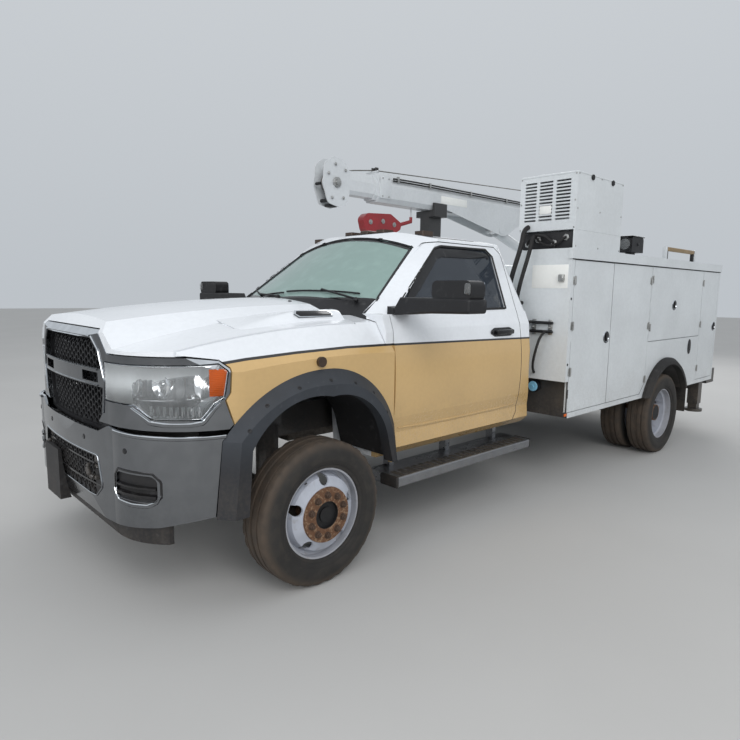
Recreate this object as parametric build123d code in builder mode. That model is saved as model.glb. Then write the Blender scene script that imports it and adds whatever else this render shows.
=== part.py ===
"""A single-cab service truck with a locker body, a deck compressor and a stowed telescopic crane.

Millimetres. +X is forward, +Y is the truck's left side, +Z is up. The origin is on the ground,
under the middle of the truck's length. Places along X are given from the front axle.
"""
import os
from math import cos, hypot, radians, sin, tan

from build123d import *

# Driving dimensions of the whole truck
WHEELBASE = 4280
FRONT_OVERHANG = 985
REAR_OVERHANG = 1715
FRONT_AXLE_X = (WHEELBASE + REAR_OVERHANG - FRONT_OVERHANG) / 2
HALF_WIDTH = 1000
BODY_HALF_WIDTH = 1200
RUNNING_FIT = 0.05
SLIP_FIT = 0.3
PANEL_GAP = 6

# Wheels and tyres
TYRE_RADIUS = 402
TYRE_HALF_WIDTH = 113
TREAD_HALF_WIDTH = 92
RIM_RADIUS = 250
RIM_LIP = 12
RIM_HALF_WIDTH = 85
RIM_THICKNESS = 9
FRONT_WHEEL_Y = 980
DUAL_OUTER_Y = 1115
DUAL_INNER_Y = 848
HUB_RADIUS = 150
HUB_CORE_RADIUS = 82
HAND_HOLES = 5
HAND_HOLE_RADIUS = 30
HAND_HOLE_CIRCLE = 190
SPINDLE_RADIUS = 30
KINGPIN_Y = 850
KINGPIN_RADIUS = 20
AXLE_RADIUS = 50

# Ladder frame
RAIL_OUTER_Y = 430
RAIL_FLANGE = 76
RAIL_TOP = 880
RAIL_HEIGHT = 190
RAIL_WALL = 9
FRAME_FRONT = 840
FRAME_REAR = -5745
CROSS_MEMBERS = (700, -640, -2240, -3560, -4640, -5640)
CROSS_MEMBER_LENGTH = 70
TANK_X = (-5560, -4760)
TANK_Z = (540, 860)
TANK_HALF_WIDTH = 330

# Cab
CAB_WALL = 40
CAB_REAR = -2146
CAB_FRONT = -606
SILL_Z = 575
BELT_Z = 1462
ROOF_EDGE_Z = 1962
ROOF_CROWN_Z = 2050
BELT_HALF_WIDTH = 938
ROOF_HALF_WIDTH = 744
CAB_CORNER = 80
TUNNEL = (462, 912)
CAB_MOUNTS_X = (-800, -1950)
GLASS_THICKNESS = 6
GLASS_INSET = 12
DOOR_THICKNESS = 60
SCREEN_BASE = (-430, 1530)
SCREEN_SLOPE = 34.4
SCREEN_RADIUS = 2450

# Nose
NOSE_SKIN = 25
HOOD_SKIN = 28
HOOD_HALF_WIDTH = 884
NOSE_REAR = -600
FENDER_INNER_Y = 700

# Service body
BODY_FRONT = -2290
BODY_REAR = -5745
BODY_BOTTOM = 620
BODY_TOP = 1944
CAP_HEIGHT = 79
CAP_OVERHANG = 12
PACK_DEPTH = 510
PACK_WALL = 22
PACK_TOP_ROUND = 150
RECESS_TOP = 914
RECESS_DEPTH = 60
ARCH_RADIUS = 510
FLARE_WIDTH = 62
FLARE_BAND = 62
LOCKER_THICKNESS = 30
BED_FLOOR_Z = 1000
BED_FLOOR_THICKNESS = 40
BULKHEAD_TOP = 1500
TAILGATE_THICKNESS = 36

# Crane
CRANE_Y = -900
MAST_X = -5180
TURRET_RADIUS = 185
BOOM_PIVOT = (-5400, 2620)
LIFT_BASE = (-5060, 2090)
LIFT_EYE = (-4230, 2350)
BOOM_BOTTOM = 2465
BOOM_HEIGHT = 280
BOOM_WIDTH = 210
BOOM_WALL = 9
BOOM_FRONT = -2170
STAGE_STEP = 16
PIN_RADIUS = 22


def side_plane(y):
    """The plane of the side view at one y: local x runs forward, local y runs up."""
    return Plane(origin=(FRONT_AXLE_X, y, 0), x_dir=(1, 0, 0), z_dir=(0, -1, 0))


def cross_plane(x):
    """The plane of the front view at one x: local x runs to the left side, local y runs up."""
    return Plane(origin=(FRONT_AXLE_X + x, 0, 0), x_dir=(0, 1, 0), z_dir=(1, 0, 0))


def floor_plane(z):
    """The plane of the top view at one height."""
    return Plane(origin=(FRONT_AXLE_X, 0, z))


def block(x, y, z, mode=Mode.ADD):
    """A box between two places along each axis."""
    centre = (FRONT_AXLE_X + (x[0] + x[1]) / 2, (y[0] + y[1]) / 2, (z[0] + z[1]) / 2)
    with Locations(centre):
        Box(abs(x[1] - x[0]), abs(y[1] - y[0]), abs(z[1] - z[0]), mode=mode)


def corner_radius(points, number, wanted):
    """The radius wanted at a corner, or the largest that its two edges have room for."""
    corner = Vector(*points[number])
    before = Vector(*points[number - 1]) - corner
    after = Vector(*points[(number + 1) % len(points)]) - corner
    room = 0.45 * min(before.length, after.length)
    return min(wanted, room * tan(radians(before.get_angle(after)) / 2))


def outline(plane, points, rounds=None):
    """A face through points, with some of its corners rounded: {corner's number: radius}."""
    with BuildSketch(plane) as face:
        with BuildLine():
            Polyline(*points, close=True)
        make_face()
        for number, wanted in (rounds or {}).items():
            corner = face.vertices().sort_by_distance(Vector(*points[number]))[0]
            fillet(corner, corner_radius(points, number, wanted))
    return face.sketch


def prism(plane, points, depth, rounds=None, mode=Mode.ADD):
    """A face through points, made as deep as depth along the plane's normal."""
    extrude(outline(plane, points, rounds), amount=depth, mode=mode)


def rod(start, end, radius, mode=Mode.ADD):
    """A round bar between two points, each x from the front axle."""
    first = Vector(FRONT_AXLE_X + start[0], start[1], start[2])
    last = Vector(FRONT_AXLE_X + end[0], end[1], end[2])
    with BuildSketch(Plane(origin=first, z_dir=last - first)) as section:
        Circle(radius)
    extrude(section.sketch, amount=(last - first).length, mode=mode)


def both_sides(part):
    """Adds the same piece mirrored on the truck's right side."""
    mirror(part, about=Plane.XZ)


# Wheels: a profile is given as (distance outwards along the axle, radius)
RIM_BARREL = (
    (RIM_HALF_WIDTH, RIM_RADIUS + RIM_LIP),
    (RIM_HALF_WIDTH - RIM_LIP, RIM_RADIUS + RIM_LIP),
    (RIM_HALF_WIDTH - RIM_LIP, RIM_RADIUS),
    (32, RIM_RADIUS),
    (22, RIM_RADIUS - 22),
)
DISC_THICKNESS = 10
LUG_COUNT = 10
LUG_CIRCLE = 113
LUG_RADIUS = 13
LUG_HEIGHT = 24
HUB_FLANGE = 12
FRONT_DISC_REACH = 106
HUB_INNER_Y = 921
HUB_BORE_END_Y = 1052


def wheel_plane(axle_x, y):
    """The plane through a wheel's axle: local x runs outwards to the left, local y is the radius."""
    return Plane(origin=(FRONT_AXLE_X + axle_x, y, TYRE_RADIUS), x_dir=(0, 1, 0), z_dir=(1, 0, 0))


def spin(sketch, axle_x):
    """Turns a profile once round a wheel's axle."""
    axle = Axis((FRONT_AXLE_X + axle_x, 0, TYRE_RADIUS), (0, 1, 0))
    revolve(sketch, axis=axle, revolution_arc=360)


def tyre(axle_x, y):
    """A tyre with round side walls, seated between the rim's lips."""
    seat = RIM_HALF_WIDTH - RIM_LIP - SLIP_FIT
    bead = RIM_RADIUS + SLIP_FIT
    shoulder = TYRE_RADIUS - 12
    with BuildSketch(wheel_plane(axle_x, y)) as profile:
        with BuildLine():
            Line((-seat, bead), (seat, bead))
            for side in (-1, 1):
                Line((side * seat, bead), (side * seat, RIM_RADIUS + RIM_LIP + 2))
                ThreePointArc(
                    (side * seat, RIM_RADIUS + RIM_LIP + 2),
                    (side * TYRE_HALF_WIDTH, (RIM_RADIUS + TYRE_RADIUS) / 2),
                    (side * (TREAD_HALF_WIDTH + 10), shoulder),
                )
                Line((side * (TREAD_HALF_WIDTH + 10), shoulder), (side * TREAD_HALF_WIDTH, TYRE_RADIUS - 3))
            ThreePointArc(
                (-TREAD_HALF_WIDTH, TYRE_RADIUS - 3), (0, TYRE_RADIUS), (TREAD_HALF_WIDTH, TYRE_RADIUS - 3)
            )
        make_face()
    spin(profile.sketch, axle_x)


def rim(axle_x, y, reach):
    """A steel rim whose disc meets the hub at reach outwards from the rim's middle plane."""
    side = 1 if reach > 0 else -1
    half = ((RIM_HALF_WIDTH, RIM_RADIUS - RIM_THICKNESS),)
    half += tuple((x + 0.6 * RIM_THICKNESS, r - RIM_THICKNESS) for x, r in RIM_BARREL[3:])
    outer = RIM_BARREL + tuple((-x, r) for x, r in reversed(RIM_BARREL))
    well = RIM_RADIUS - 22 - RIM_THICKNESS / 2
    face = abs(reach)
    back = face - DISC_THICKNESS
    disc = (
        (-14, well + 3), (14, well + 3), (face - 26, well - 18), (face, HUB_RADIUS + 6),
        (face, HUB_CORE_RADIUS - 10), (back, HUB_CORE_RADIUS - 10), (back, HUB_RADIUS),
        (back - 24, well - 28), (8, well - 7), (-14, well - 5),
    )
    barrel = list(outer) + [(-x, r) for x, r in half] + list(reversed(half))
    spin(outline(wheel_plane(axle_x, y), barrel), axle_x)
    spin(outline(wheel_plane(axle_x, y), [(side * x, r) for x, r in disc]), axle_x)


def round_holes(axle_x, y, depth, count, circle, radius, mode):
    """Bars or holes round a wheel's axle, from y along +Y."""
    face = Plane(origin=(FRONT_AXLE_X + axle_x, y, TYRE_RADIUS), x_dir=(0, 0, 1), z_dir=(0, 1, 0))
    with BuildSketch(face) as pattern:
        with PolarLocations(circle, count):
            Circle(radius)
    extrude(pattern.sketch, amount=depth, mode=mode)


def hub(axle_x, inner_y, outer_y, radius):
    """A solid round hub along the axle."""
    rod((axle_x, inner_y, TYRE_RADIUS), (axle_x, outer_y, TYRE_RADIUS), radius)


with BuildPart() as tyre_front_left:
    tyre(0, FRONT_WHEEL_Y)

FRONT_FACE_Y = FRONT_WHEEL_Y + FRONT_DISC_REACH
with BuildPart() as rim_front_left:
    rim(0, FRONT_WHEEL_Y, FRONT_DISC_REACH)
    round_holes(0, FRONT_WHEEL_Y, 150, HAND_HOLES, HAND_HOLE_CIRCLE, HAND_HOLE_RADIUS, Mode.SUBTRACT)
    hub(0, HUB_INNER_Y, FRONT_FACE_Y - DISC_THICKNESS / 2, HUB_CORE_RADIUS)
    hub(0, FRONT_FACE_Y - 1, FRONT_FACE_Y + HUB_FLANGE, HUB_RADIUS)
    round_holes(0, FRONT_FACE_Y + HUB_FLANGE, LUG_HEIGHT / 2, LUG_COUNT, LUG_CIRCLE, LUG_RADIUS, Mode.ADD)
    rod((0, FRONT_FACE_Y - 4, TYRE_RADIUS), (0, FRONT_FACE_Y + 20, TYRE_RADIUS), HUB_CORE_RADIUS - 8,
        Mode.SUBTRACT)
    rod((0, FRONT_FACE_Y - 5, TYRE_RADIUS), (0, FRONT_FACE_Y + 4, TYRE_RADIUS), HUB_CORE_RADIUS / 2)
    rod((0, HUB_INNER_Y - 1, TYRE_RADIUS), (0, HUB_BORE_END_Y, TYRE_RADIUS), SPINDLE_RADIUS + RUNNING_FIT,
        Mode.SUBTRACT)

with BuildPart() as tyres_rear_left:
    for dual_y in (DUAL_INNER_Y, DUAL_OUTER_Y):
        tyre(-WHEELBASE, dual_y)

DUAL_MID_Y = (DUAL_INNER_Y + DUAL_OUTER_Y) / 2
DUAL_REACH = (DUAL_OUTER_Y - DUAL_INNER_Y) / 2
REAR_HUB_Y = (800, 1150)
with BuildPart() as rims_rear_left:
    rim(-WHEELBASE, DUAL_OUTER_Y, -DUAL_REACH)
    rim(-WHEELBASE, DUAL_INNER_Y, DUAL_REACH)
    round_holes(-WHEELBASE, DUAL_INNER_Y, DUAL_OUTER_Y - DUAL_INNER_Y, HAND_HOLES, HAND_HOLE_CIRCLE,
                HAND_HOLE_RADIUS, Mode.SUBTRACT)
    hub(-WHEELBASE, REAR_HUB_Y[0], REAR_HUB_Y[1], HUB_CORE_RADIUS)
    hub(-WHEELBASE, DUAL_MID_Y, DUAL_MID_Y + DISC_THICKNESS + HUB_FLANGE, HUB_RADIUS)
    round_holes(-WHEELBASE, DUAL_MID_Y + DISC_THICKNESS, HUB_FLANGE + LUG_HEIGHT, LUG_COUNT, LUG_CIRCLE,
                LUG_RADIUS, Mode.ADD)
    rod((-WHEELBASE, REAR_HUB_Y[0] - 1, TYRE_RADIUS), (-WHEELBASE, HUB_BORE_END_Y, TYRE_RADIUS),
        SPINDLE_RADIUS + RUNNING_FIT, Mode.SUBTRACT)

# Steering knuckles: two ears on the kingpin, a web outside it and the spindle
EAR_RADIUS = 40
EAR_THICKNESS = 24
BOSS_RADIUS = 44
BOSS_HALF_HEIGHT = 55
WEB_Y = (KINGPIN_Y + 52, KINGPIN_Y + 66)
with BuildPart() as knuckle_left:
    for side in (-1, 1):
        near = TYRE_RADIUS + side * (BOSS_HALF_HEIGHT + SLIP_FIT)
        far = near + side * EAR_THICKNESS
        rod((0, KINGPIN_Y, near), (0, KINGPIN_Y, far), EAR_RADIUS)
        block((-EAR_RADIUS, EAR_RADIUS), (KINGPIN_Y, WEB_Y[1]), (near, far))
    block((-EAR_RADIUS, EAR_RADIUS), WEB_Y,
          (TYRE_RADIUS - BOSS_HALF_HEIGHT - SLIP_FIT, TYRE_RADIUS + BOSS_HALF_HEIGHT + SLIP_FIT))
    rod((0, WEB_Y[0], TYRE_RADIUS), (0, WEB_Y[1] + 3, TYRE_RADIUS), HUB_RADIUS)
    rod((0, WEB_Y[0], TYRE_RADIUS), (0, HUB_BORE_END_Y - 2, TYRE_RADIUS), SPINDLE_RADIUS)
    rod((0, KINGPIN_Y, TYRE_RADIUS - BOSS_HALF_HEIGHT - EAR_THICKNESS),
        (0, KINGPIN_Y, TYRE_RADIUS + BOSS_HALF_HEIGHT + EAR_THICKNESS), KINGPIN_RADIUS)

# Axles with what springs them
FRONT_SPRING_Y = 520
FRONT_SPRING_RADIUS = 68
FRONT_DIFF_Y = -260
DIFF_RADIUS = 135
REAR_DIFF_RADIUS = 185
LEAF_Y = 500
LEAF_WIDTH = 70
LEAF_HALF_LENGTH = 690
LEAF_STACK = 62
LEAF_DROP = 110
with BuildPart() as front_axle:
    rod((0, -KINGPIN_Y, TYRE_RADIUS), (0, KINGPIN_Y, TYRE_RADIUS), AXLE_RADIUS)
    for side in (-1, 1):
        rod((0, side * KINGPIN_Y, TYRE_RADIUS - BOSS_HALF_HEIGHT),
            (0, side * KINGPIN_Y, TYRE_RADIUS + BOSS_HALF_HEIGHT), BOSS_RADIUS)
        rod((0, side * KINGPIN_Y, 0), (0, side * KINGPIN_Y, TYRE_RADIUS * 2),
            KINGPIN_RADIUS + RUNNING_FIT, Mode.SUBTRACT)
        rod((0, side * FRONT_SPRING_Y, TYRE_RADIUS), (0, side * FRONT_SPRING_Y, RAIL_TOP - 80),
            FRONT_SPRING_RADIUS)
        block((-60, 60), (side * (RAIL_OUTER_Y + SLIP_FIT), side * (FRONT_SPRING_Y + FRONT_SPRING_RADIUS)),
              (RAIL_TOP - 80, RAIL_TOP))
    with Locations((FRONT_AXLE_X, FRONT_DIFF_Y, TYRE_RADIUS)):
        Sphere(DIFF_RADIUS)

with BuildPart() as rear_axle:
    rod((-WHEELBASE, -REAR_HUB_Y[0] + 8, TYRE_RADIUS), (-WHEELBASE, REAR_HUB_Y[0] - 8, TYRE_RADIUS), 64)
    for side in (-1, 1):
        rod((-WHEELBASE, side * (REAR_HUB_Y[0] - 20), TYRE_RADIUS),
            (-WHEELBASE, side * (HUB_BORE_END_Y - 2), TYRE_RADIUS), SPINDLE_RADIUS)
        leaf = [
            (-WHEELBASE - LEAF_HALF_LENGTH, RAIL_TOP - RAIL_HEIGHT),
            (-WHEELBASE, RAIL_TOP - RAIL_HEIGHT - LEAF_DROP),
            (-WHEELBASE + LEAF_HALF_LENGTH, RAIL_TOP - RAIL_HEIGHT),
        ]
        with BuildSketch(side_plane(side * LEAF_Y + LEAF_WIDTH / 2)) as spring:
            with BuildLine():
                ThreePointArc(*leaf)
                Line(leaf[2], (leaf[2][0], leaf[2][1] - 10))
                ThreePointArc((leaf[2][0], leaf[2][1] - 10), (leaf[1][0], leaf[1][1] - LEAF_STACK),
                              (leaf[0][0], leaf[0][1] - 10))
                Line((leaf[0][0], leaf[0][1] - 10), leaf[0])
            make_face()
        extrude(spring.sketch, amount=LEAF_WIDTH)
        block((-WHEELBASE - 90, -WHEELBASE + 90),
              (side * LEAF_Y - LEAF_WIDTH / 2, side * LEAF_Y + LEAF_WIDTH / 2),
              (TYRE_RADIUS, RAIL_TOP - RAIL_HEIGHT - LEAF_DROP))
        for end in (-1, 1):
            hanger_x = -WHEELBASE + end * LEAF_HALF_LENGTH
            block((hanger_x - 30, hanger_x + 30),
                  (side * (RAIL_OUTER_Y + SLIP_FIT), side * LEAF_Y + side * LEAF_WIDTH / 2),
                  (RAIL_TOP - RAIL_HEIGHT - 20, RAIL_TOP - 60))
    with Locations((FRONT_AXLE_X - WHEELBASE, 0, TYRE_RADIUS)):
        Sphere(REAR_DIFF_RADIUS)

# Ladder frame: two channel rails open inwards, cross members and the fuel tank between them
with BuildPart() as frame:
    for side in (-1, 1):
        rail_y = (side * RAIL_OUTER_Y, side * (RAIL_OUTER_Y - RAIL_FLANGE))
        block((FRAME_REAR, FRAME_FRONT), rail_y, (RAIL_TOP - RAIL_HEIGHT, RAIL_TOP))
        block((FRAME_REAR, FRAME_FRONT), (side * (RAIL_OUTER_Y - RAIL_WALL), rail_y[1]),
              (RAIL_TOP - RAIL_HEIGHT + RAIL_WALL, RAIL_TOP - RAIL_WALL), Mode.SUBTRACT)
    for member_x in CROSS_MEMBERS:
        block((member_x - CROSS_MEMBER_LENGTH / 2, member_x + CROSS_MEMBER_LENGTH / 2),
              (-RAIL_OUTER_Y + RAIL_WALL, RAIL_OUTER_Y - RAIL_WALL),
              (RAIL_TOP - RAIL_HEIGHT + 60, RAIL_TOP - 20))
    block(TANK_X, (-TANK_HALF_WIDTH, TANK_HALF_WIDTH), TANK_Z)
    fillet(frame.edges().filter_by(Axis.X).filter_by_position(Axis.Z, TANK_Z[0] - 1, TANK_Z[0] + 1), 50)
    for strap_x in (TANK_X[0] + 160, TANK_X[1] - 160):
        block((strap_x - 20, strap_x + 20), (-RAIL_OUTER_Y + RAIL_WALL, RAIL_OUTER_Y - RAIL_WALL),
              (TANK_Z[1] - 20, TANK_Z[1]))

# Engine block, gearbox, drive shaft and exhaust
with BuildPart() as drivetrain:
    block((-400, 420), (-290, 290), (640, 1180))
    block((-1300, -400), (-170, 170), (560, 740))
    rod((-1300, 0, 650), (-WHEELBASE + REAR_DIFF_RADIUS + 3, 0, TYRE_RADIUS + 40), 45)
    block((560, 620), (-420, 420), (RAIL_TOP + SLIP_FIT, 1240))
    block((-100, 100), (SLIP_FIT + RAIL_FLANGE - RAIL_OUTER_Y, RAIL_OUTER_Y - RAIL_FLANGE - SLIP_FIT),
          (RAIL_TOP - RAIL_HEIGHT + 20, RAIL_TOP - 60))
    block((419, 561), (-120, 120), (RAIL_TOP + 20, 1100))
    with BuildSketch(side_plane(-530 + 60)) as muffler:
        with Locations((-2900, 560)):
            SlotOverall(900, 190)
    extrude(muffler.sketch, amount=120)
    rod((-2460, -530, 545), (-1000, -330, 500), 38)
    rod((-1010, -330, 500), (-390, -250, 660), 38)
    for strap_x in (-3200, -2600):
        block((strap_x - 20, strap_x + 20), (-RAIL_OUTER_Y - SLIP_FIT, -560), (640, 700))


# Nose: one outer form, from which fenders, hood, grille surround and headlamps are cut as shells.
# Each section: x, then shoulder height, hood edge height, crease foot, crease top, middle height
NOSE_SECTIONS = (
    (-640, 1235, 1408, 1468, 1512, 1545),
    (250, 1225, 1388, 1432, 1492, 1522),
    (960, 1130, 1268, 1296, 1425, 1442),
)
CREASE_FOOT_Y = 590
CREASE_TOP_Y = 455
NOSE_CORNER = ((430, HALF_WIDTH), (772, 852), (915, 520))
NOSE_TIP_X = 950
NOSE_BOTTOM = 300


def nose_form(inset):
    """The nose as one solid, drawn in by inset on every side but the rear."""
    sections = []
    for x, shoulder, edge, foot, top, middle in NOSE_SECTIONS:
        with BuildSketch(cross_plane(x)) as section:
            with BuildLine():
                for side in (-1, 1):
                    Polyline(
                        (0, NOSE_BOTTOM + inset), (side * (HALF_WIDTH - inset), NOSE_BOTTOM + inset),
                        (side * (HALF_WIDTH - inset), shoulder - inset / 2),
                        (side * (HOOD_HALF_WIDTH - inset / 2), edge - inset),
                        (side * CREASE_FOOT_Y, foot - inset), (side * CREASE_TOP_Y, top - inset),
                    )
                ThreePointArc((-CREASE_TOP_Y, top - inset), (0, middle - inset), (CREASE_TOP_Y, top - inset))
            make_face()
        sections.append(section.sketch)
    with BuildSketch(floor_plane(NOSE_BOTTOM - 10)) as plan:
        with BuildLine():
            for side in (-1, 1):
                corner = [(x, side * y) for x, y in NOSE_CORNER]
                Line((-700, 0), (-700, corner[0][1]))
                Line((-700, corner[0][1]), corner[0])
                ThreePointArc(*corner)
            ThreePointArc((NOSE_CORNER[2][0], -NOSE_CORNER[2][1]), (NOSE_TIP_X, 0), NOSE_CORNER[2])
        make_face()
        if inset:
            offset(amount=-inset)
    with BuildPart() as form:
        loft(sections)
        extrude(plan.sketch, amount=2000, mode=Mode.INTERSECT)
        prism(side_plane(HALF_WIDTH + 50),
              [(-720, NOSE_BOTTOM - 50), (NOSE_TIP_X + 10 - inset, NOSE_BOTTOM - 50),
               (NOSE_TIP_X + 10 - inset, 1330 - inset), (872 - inset, 1448 - inset / 2), (700, 1700), (-720, 1700)],
              2 * HALF_WIDTH + 100, mode=Mode.INTERSECT)
    return form.part


nose_outer = nose_form(0)
nose_inner = nose_form(NOSE_SKIN)
hood_inner = nose_form(HOOD_SKIN)
lamp_back = nose_form(120)
mesh_outer = nose_form(42)
mesh_inner = nose_form(50)

# Front view outlines, (y, z)
HOOD_LINE = [(-HOOD_HALF_WIDTH, 1288), (-530, 1288), (-440, 1402), (440, 1402), (530, 1288),
             (HOOD_HALF_WIDTH, 1288), (HOOD_HALF_WIDTH, 1700), (-HOOD_HALF_WIDTH, 1700)]
HOOD_REAR = -372
HOOD_HINGE = ((730, 780), (1405, 1421))
GRILLE_OPENING = [(-390, 900), (390, 900), (468, 985), (492, 1150), (440, 1290), (370, 1352),
                  (-370, 1352), (-440, 1290), (-492, 1150), (-468, 985)]
GRILLE_BAR = (1112, 1202)
GRILLE_SLOT = ((250, 430), (1132, 1182))

# Side view outlines, (x, z)
LAMP_LINE = [(520, 1215), (552, 1246), (1000, 1238), (1000, 1060), (862, 1056), (812, 992), (640, 992),
             (588, 1062), (540, 1090)]
LAMP_GAP = 7
LAMP_INNER_Y = 505

# Front arch outlines, (x, z): start, through, top, through, end, foot
FLARE_OUTER = ((560, 880), (362, 1060), (-60, 1180), (-400, 1078), (-600, 800), (-632, 590))
FLARE_CREASE = ((500, 880), (330, 1020), (-60, 1102), (-350, 1020), (-520, 780), (-560, 590))
FLARE_OPENING = ((440, 830), (290, 985), (-60, 1040), (-310, 985), (-480, 740), (-524, 580))
FLARE_FOOT_Z = 505
FLARE_REACH = 75
LINER_OUT = 26
LINER_THICKNESS = 5
LINER_INNER_Y = 575


def arch(plane, points, foot):
    """A face in the shape of an arch, standing on two feet."""
    start, rise, top, fall, end, heel = points
    with BuildSketch(plane) as face:
        with BuildLine():
            ThreePointArc(start, rise, top)
            ThreePointArc(top, fall, end)
            Line(end, heel)
            Line(heel, (heel[0], foot))
            Line((heel[0], foot), (start[0] + 40, foot))
            Line((start[0] + 40, foot), start)
        make_face()
    return face.sketch


def spread(points, amount):
    """An arch's points, moved out by amount."""
    start, rise, top, fall, end, heel = points
    return (
        (start[0] + amount, start[1]), (rise[0] + amount * 0.7, rise[1] + amount * 0.7),
        (top[0], top[1] + amount), (fall[0] - amount * 0.7, fall[1] + amount * 0.7),
        (end[0] - amount, end[1]), (heel[0] - amount, heel[1]),
    )


with BuildPart() as fender_left:
    add(nose_outer)
    add(nose_inner, mode=Mode.SUBTRACT)
    block((NOSE_REAR + PANEL_GAP / 2, 1000), (NOSE_SKIN + 60, HALF_WIDTH + 10), (560, 1600), Mode.INTERSECT)
    prism(cross_plane(HOOD_REAR - PANEL_GAP), [(0, 1280), (HOOD_HALF_WIDTH + PANEL_GAP, 1280),
          (HOOD_HALF_WIDTH + PANEL_GAP, 1700), (0, 1700)], 1500, mode=Mode.SUBTRACT)
    block((NOSE_REAR - 10, 1100), (0, FENDER_INNER_Y), (560, 1700), Mode.SUBTRACT)
    prism(side_plane(HALF_WIDTH + 10), [(470, 500), (484, 940), (528, 1076), (504, 1110), (497, 1229),
          (541, 1268), (700, 1292), (1000, 1292), (1000, 500)], HALF_WIDTH, mode=Mode.SUBTRACT)
    extrude(arch(side_plane(HALF_WIDTH + 10), spread(FLARE_CREASE, 20), 300), amount=500, mode=Mode.SUBTRACT)
    block((HOOD_REAR - PANEL_GAP - 10, HOOD_REAR - SLIP_FIT), HOOD_HINGE[0], HOOD_HINGE[1])

with BuildPart() as front_fenders:
    add(fender_left.part)
    both_sides(fender_left.part)

with BuildPart() as hood:
    add(nose_outer)
    add(hood_inner, mode=Mode.SUBTRACT)
    prism(cross_plane(HOOD_REAR), HOOD_LINE, 1400, mode=Mode.INTERSECT)

with BuildPart() as grille_hole:
    prism(cross_plane(700), GRILLE_OPENING, 400, {0: 40, 1: 40, 2: 60, 3: 60, 5: 40, 6: 40, 8: 60, 9: 60})
    block((600, 1200), (-HALF_WIDTH, HALF_WIDTH), GRILLE_BAR, Mode.SUBTRACT)
    for side in (-1, 1):
        block((700, 1100), (side * GRILLE_SLOT[0][0], side * GRILLE_SLOT[0][1]), GRILLE_SLOT[1])

with BuildPart() as grille_surround:
    add(nose_outer)
    add(nose_inner, mode=Mode.SUBTRACT)
    prism(cross_plane(480), [(-HALF_WIDTH - 5, 935), (HALF_WIDTH + 5, 935), (HALF_WIDTH + 5, 1282), (526, 1282),
          (436, 1396), (-436, 1396), (-526, 1282), (-HALF_WIDTH - 5, 1282)], 600, mode=Mode.INTERSECT)
    prism(side_plane(HALF_WIDTH + 10), [(492, 940), (536, 1076), (512, 1110), (505, 1225), (545, 1262),
          (700, 1283), (850, 1500), (1050, 1500), (1050, 800), (492, 800)], 2 * HALF_WIDTH + 20,
          mode=Mode.INTERSECT)
    add(grille_hole.part, mode=Mode.SUBTRACT)
    for side in (-1, 1):
        with BuildSketch(side_plane(side * HALF_WIDTH + side * 20)) as lamp_hole:
            with BuildLine():
                Polyline(*LAMP_LINE, close=True)
            make_face()
            offset(amount=LAMP_GAP)
        extrude(lamp_hole.sketch, amount=side * (HALF_WIDTH + 20 - LAMP_INNER_Y + LAMP_GAP), mode=Mode.SUBTRACT)

with BuildPart() as lamp_left:
    add(nose_outer)
    add(lamp_back, mode=Mode.SUBTRACT)
    prism(side_plane(HALF_WIDTH + 10), LAMP_LINE, HALF_WIDTH + 10 - LAMP_INNER_Y,
          {0: 12, 1: 12, 5: 25, 6: 25, 7: 25}, mode=Mode.INTERSECT)

with BuildPart() as headlamps:
    add(lamp_left.part)
    both_sides(lamp_left.part)

# Bumper: a curved chrome skin, and the black pieces behind and below it
BUMPER_CURVE = ((520, HALF_WIDTH), (812, 872), (925, 590))
PLATE_THICKNESS = 15
BUMPER_TIP_X = FRONT_OVERHANG - PLATE_THICKNESS
BUMPER_SKIN = 14
BUMPER_REAR = 508
BUMPER_FACE = [(-1010, 520), (-860, 480), (-600, 452), (600, 452), (860, 480), (1010, 520), (1010, 912),
               (540, 930), (450, 893), (-450, 893), (-540, 930), (-1010, 912)]
LOWER_OPENING = [(-400, 548), (400, 548), (470, 610), (430, 760), (-430, 760), (-470, 610)]
FOG_OPENING = ((618, 858), (600, 728))
HORN_Y = (362, 428)


def bumper_form(inset):
    """The bumper's outer form as one solid, drawn in by inset."""
    with BuildSketch(floor_plane(380)) as plan:
        with BuildLine():
            for side in (-1, 1):
                curve = [(x, side * y) for x, y in BUMPER_CURVE]
                Line((300, 0), (300, curve[0][1]))
                Line((300, curve[0][1]), curve[0])
                ThreePointArc(*curve)
            ThreePointArc((BUMPER_CURVE[2][0], -BUMPER_CURVE[2][1]), (BUMPER_TIP_X, 0), BUMPER_CURVE[2])
        make_face()
        if inset:
            offset(amount=-inset)
    with BuildPart() as form:
        extrude(plan.sketch, amount=700)
        with BuildSketch(side_plane(HALF_WIDTH + 50)) as bulge:
            with BuildLine():
                ThreePointArc((BUMPER_TIP_X - 50 - inset, 370), (BUMPER_TIP_X - inset, 720),
                              (BUMPER_TIP_X - 30 - inset, 1090))
                Polyline((BUMPER_TIP_X - 30 - inset, 1090), (200, 1090), (200, 370),
                         (BUMPER_TIP_X - 50 - inset, 370))
            make_face()
        extrude(bulge.sketch, amount=2 * HALF_WIDTH + 100, mode=Mode.INTERSECT)
    return form.part


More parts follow.
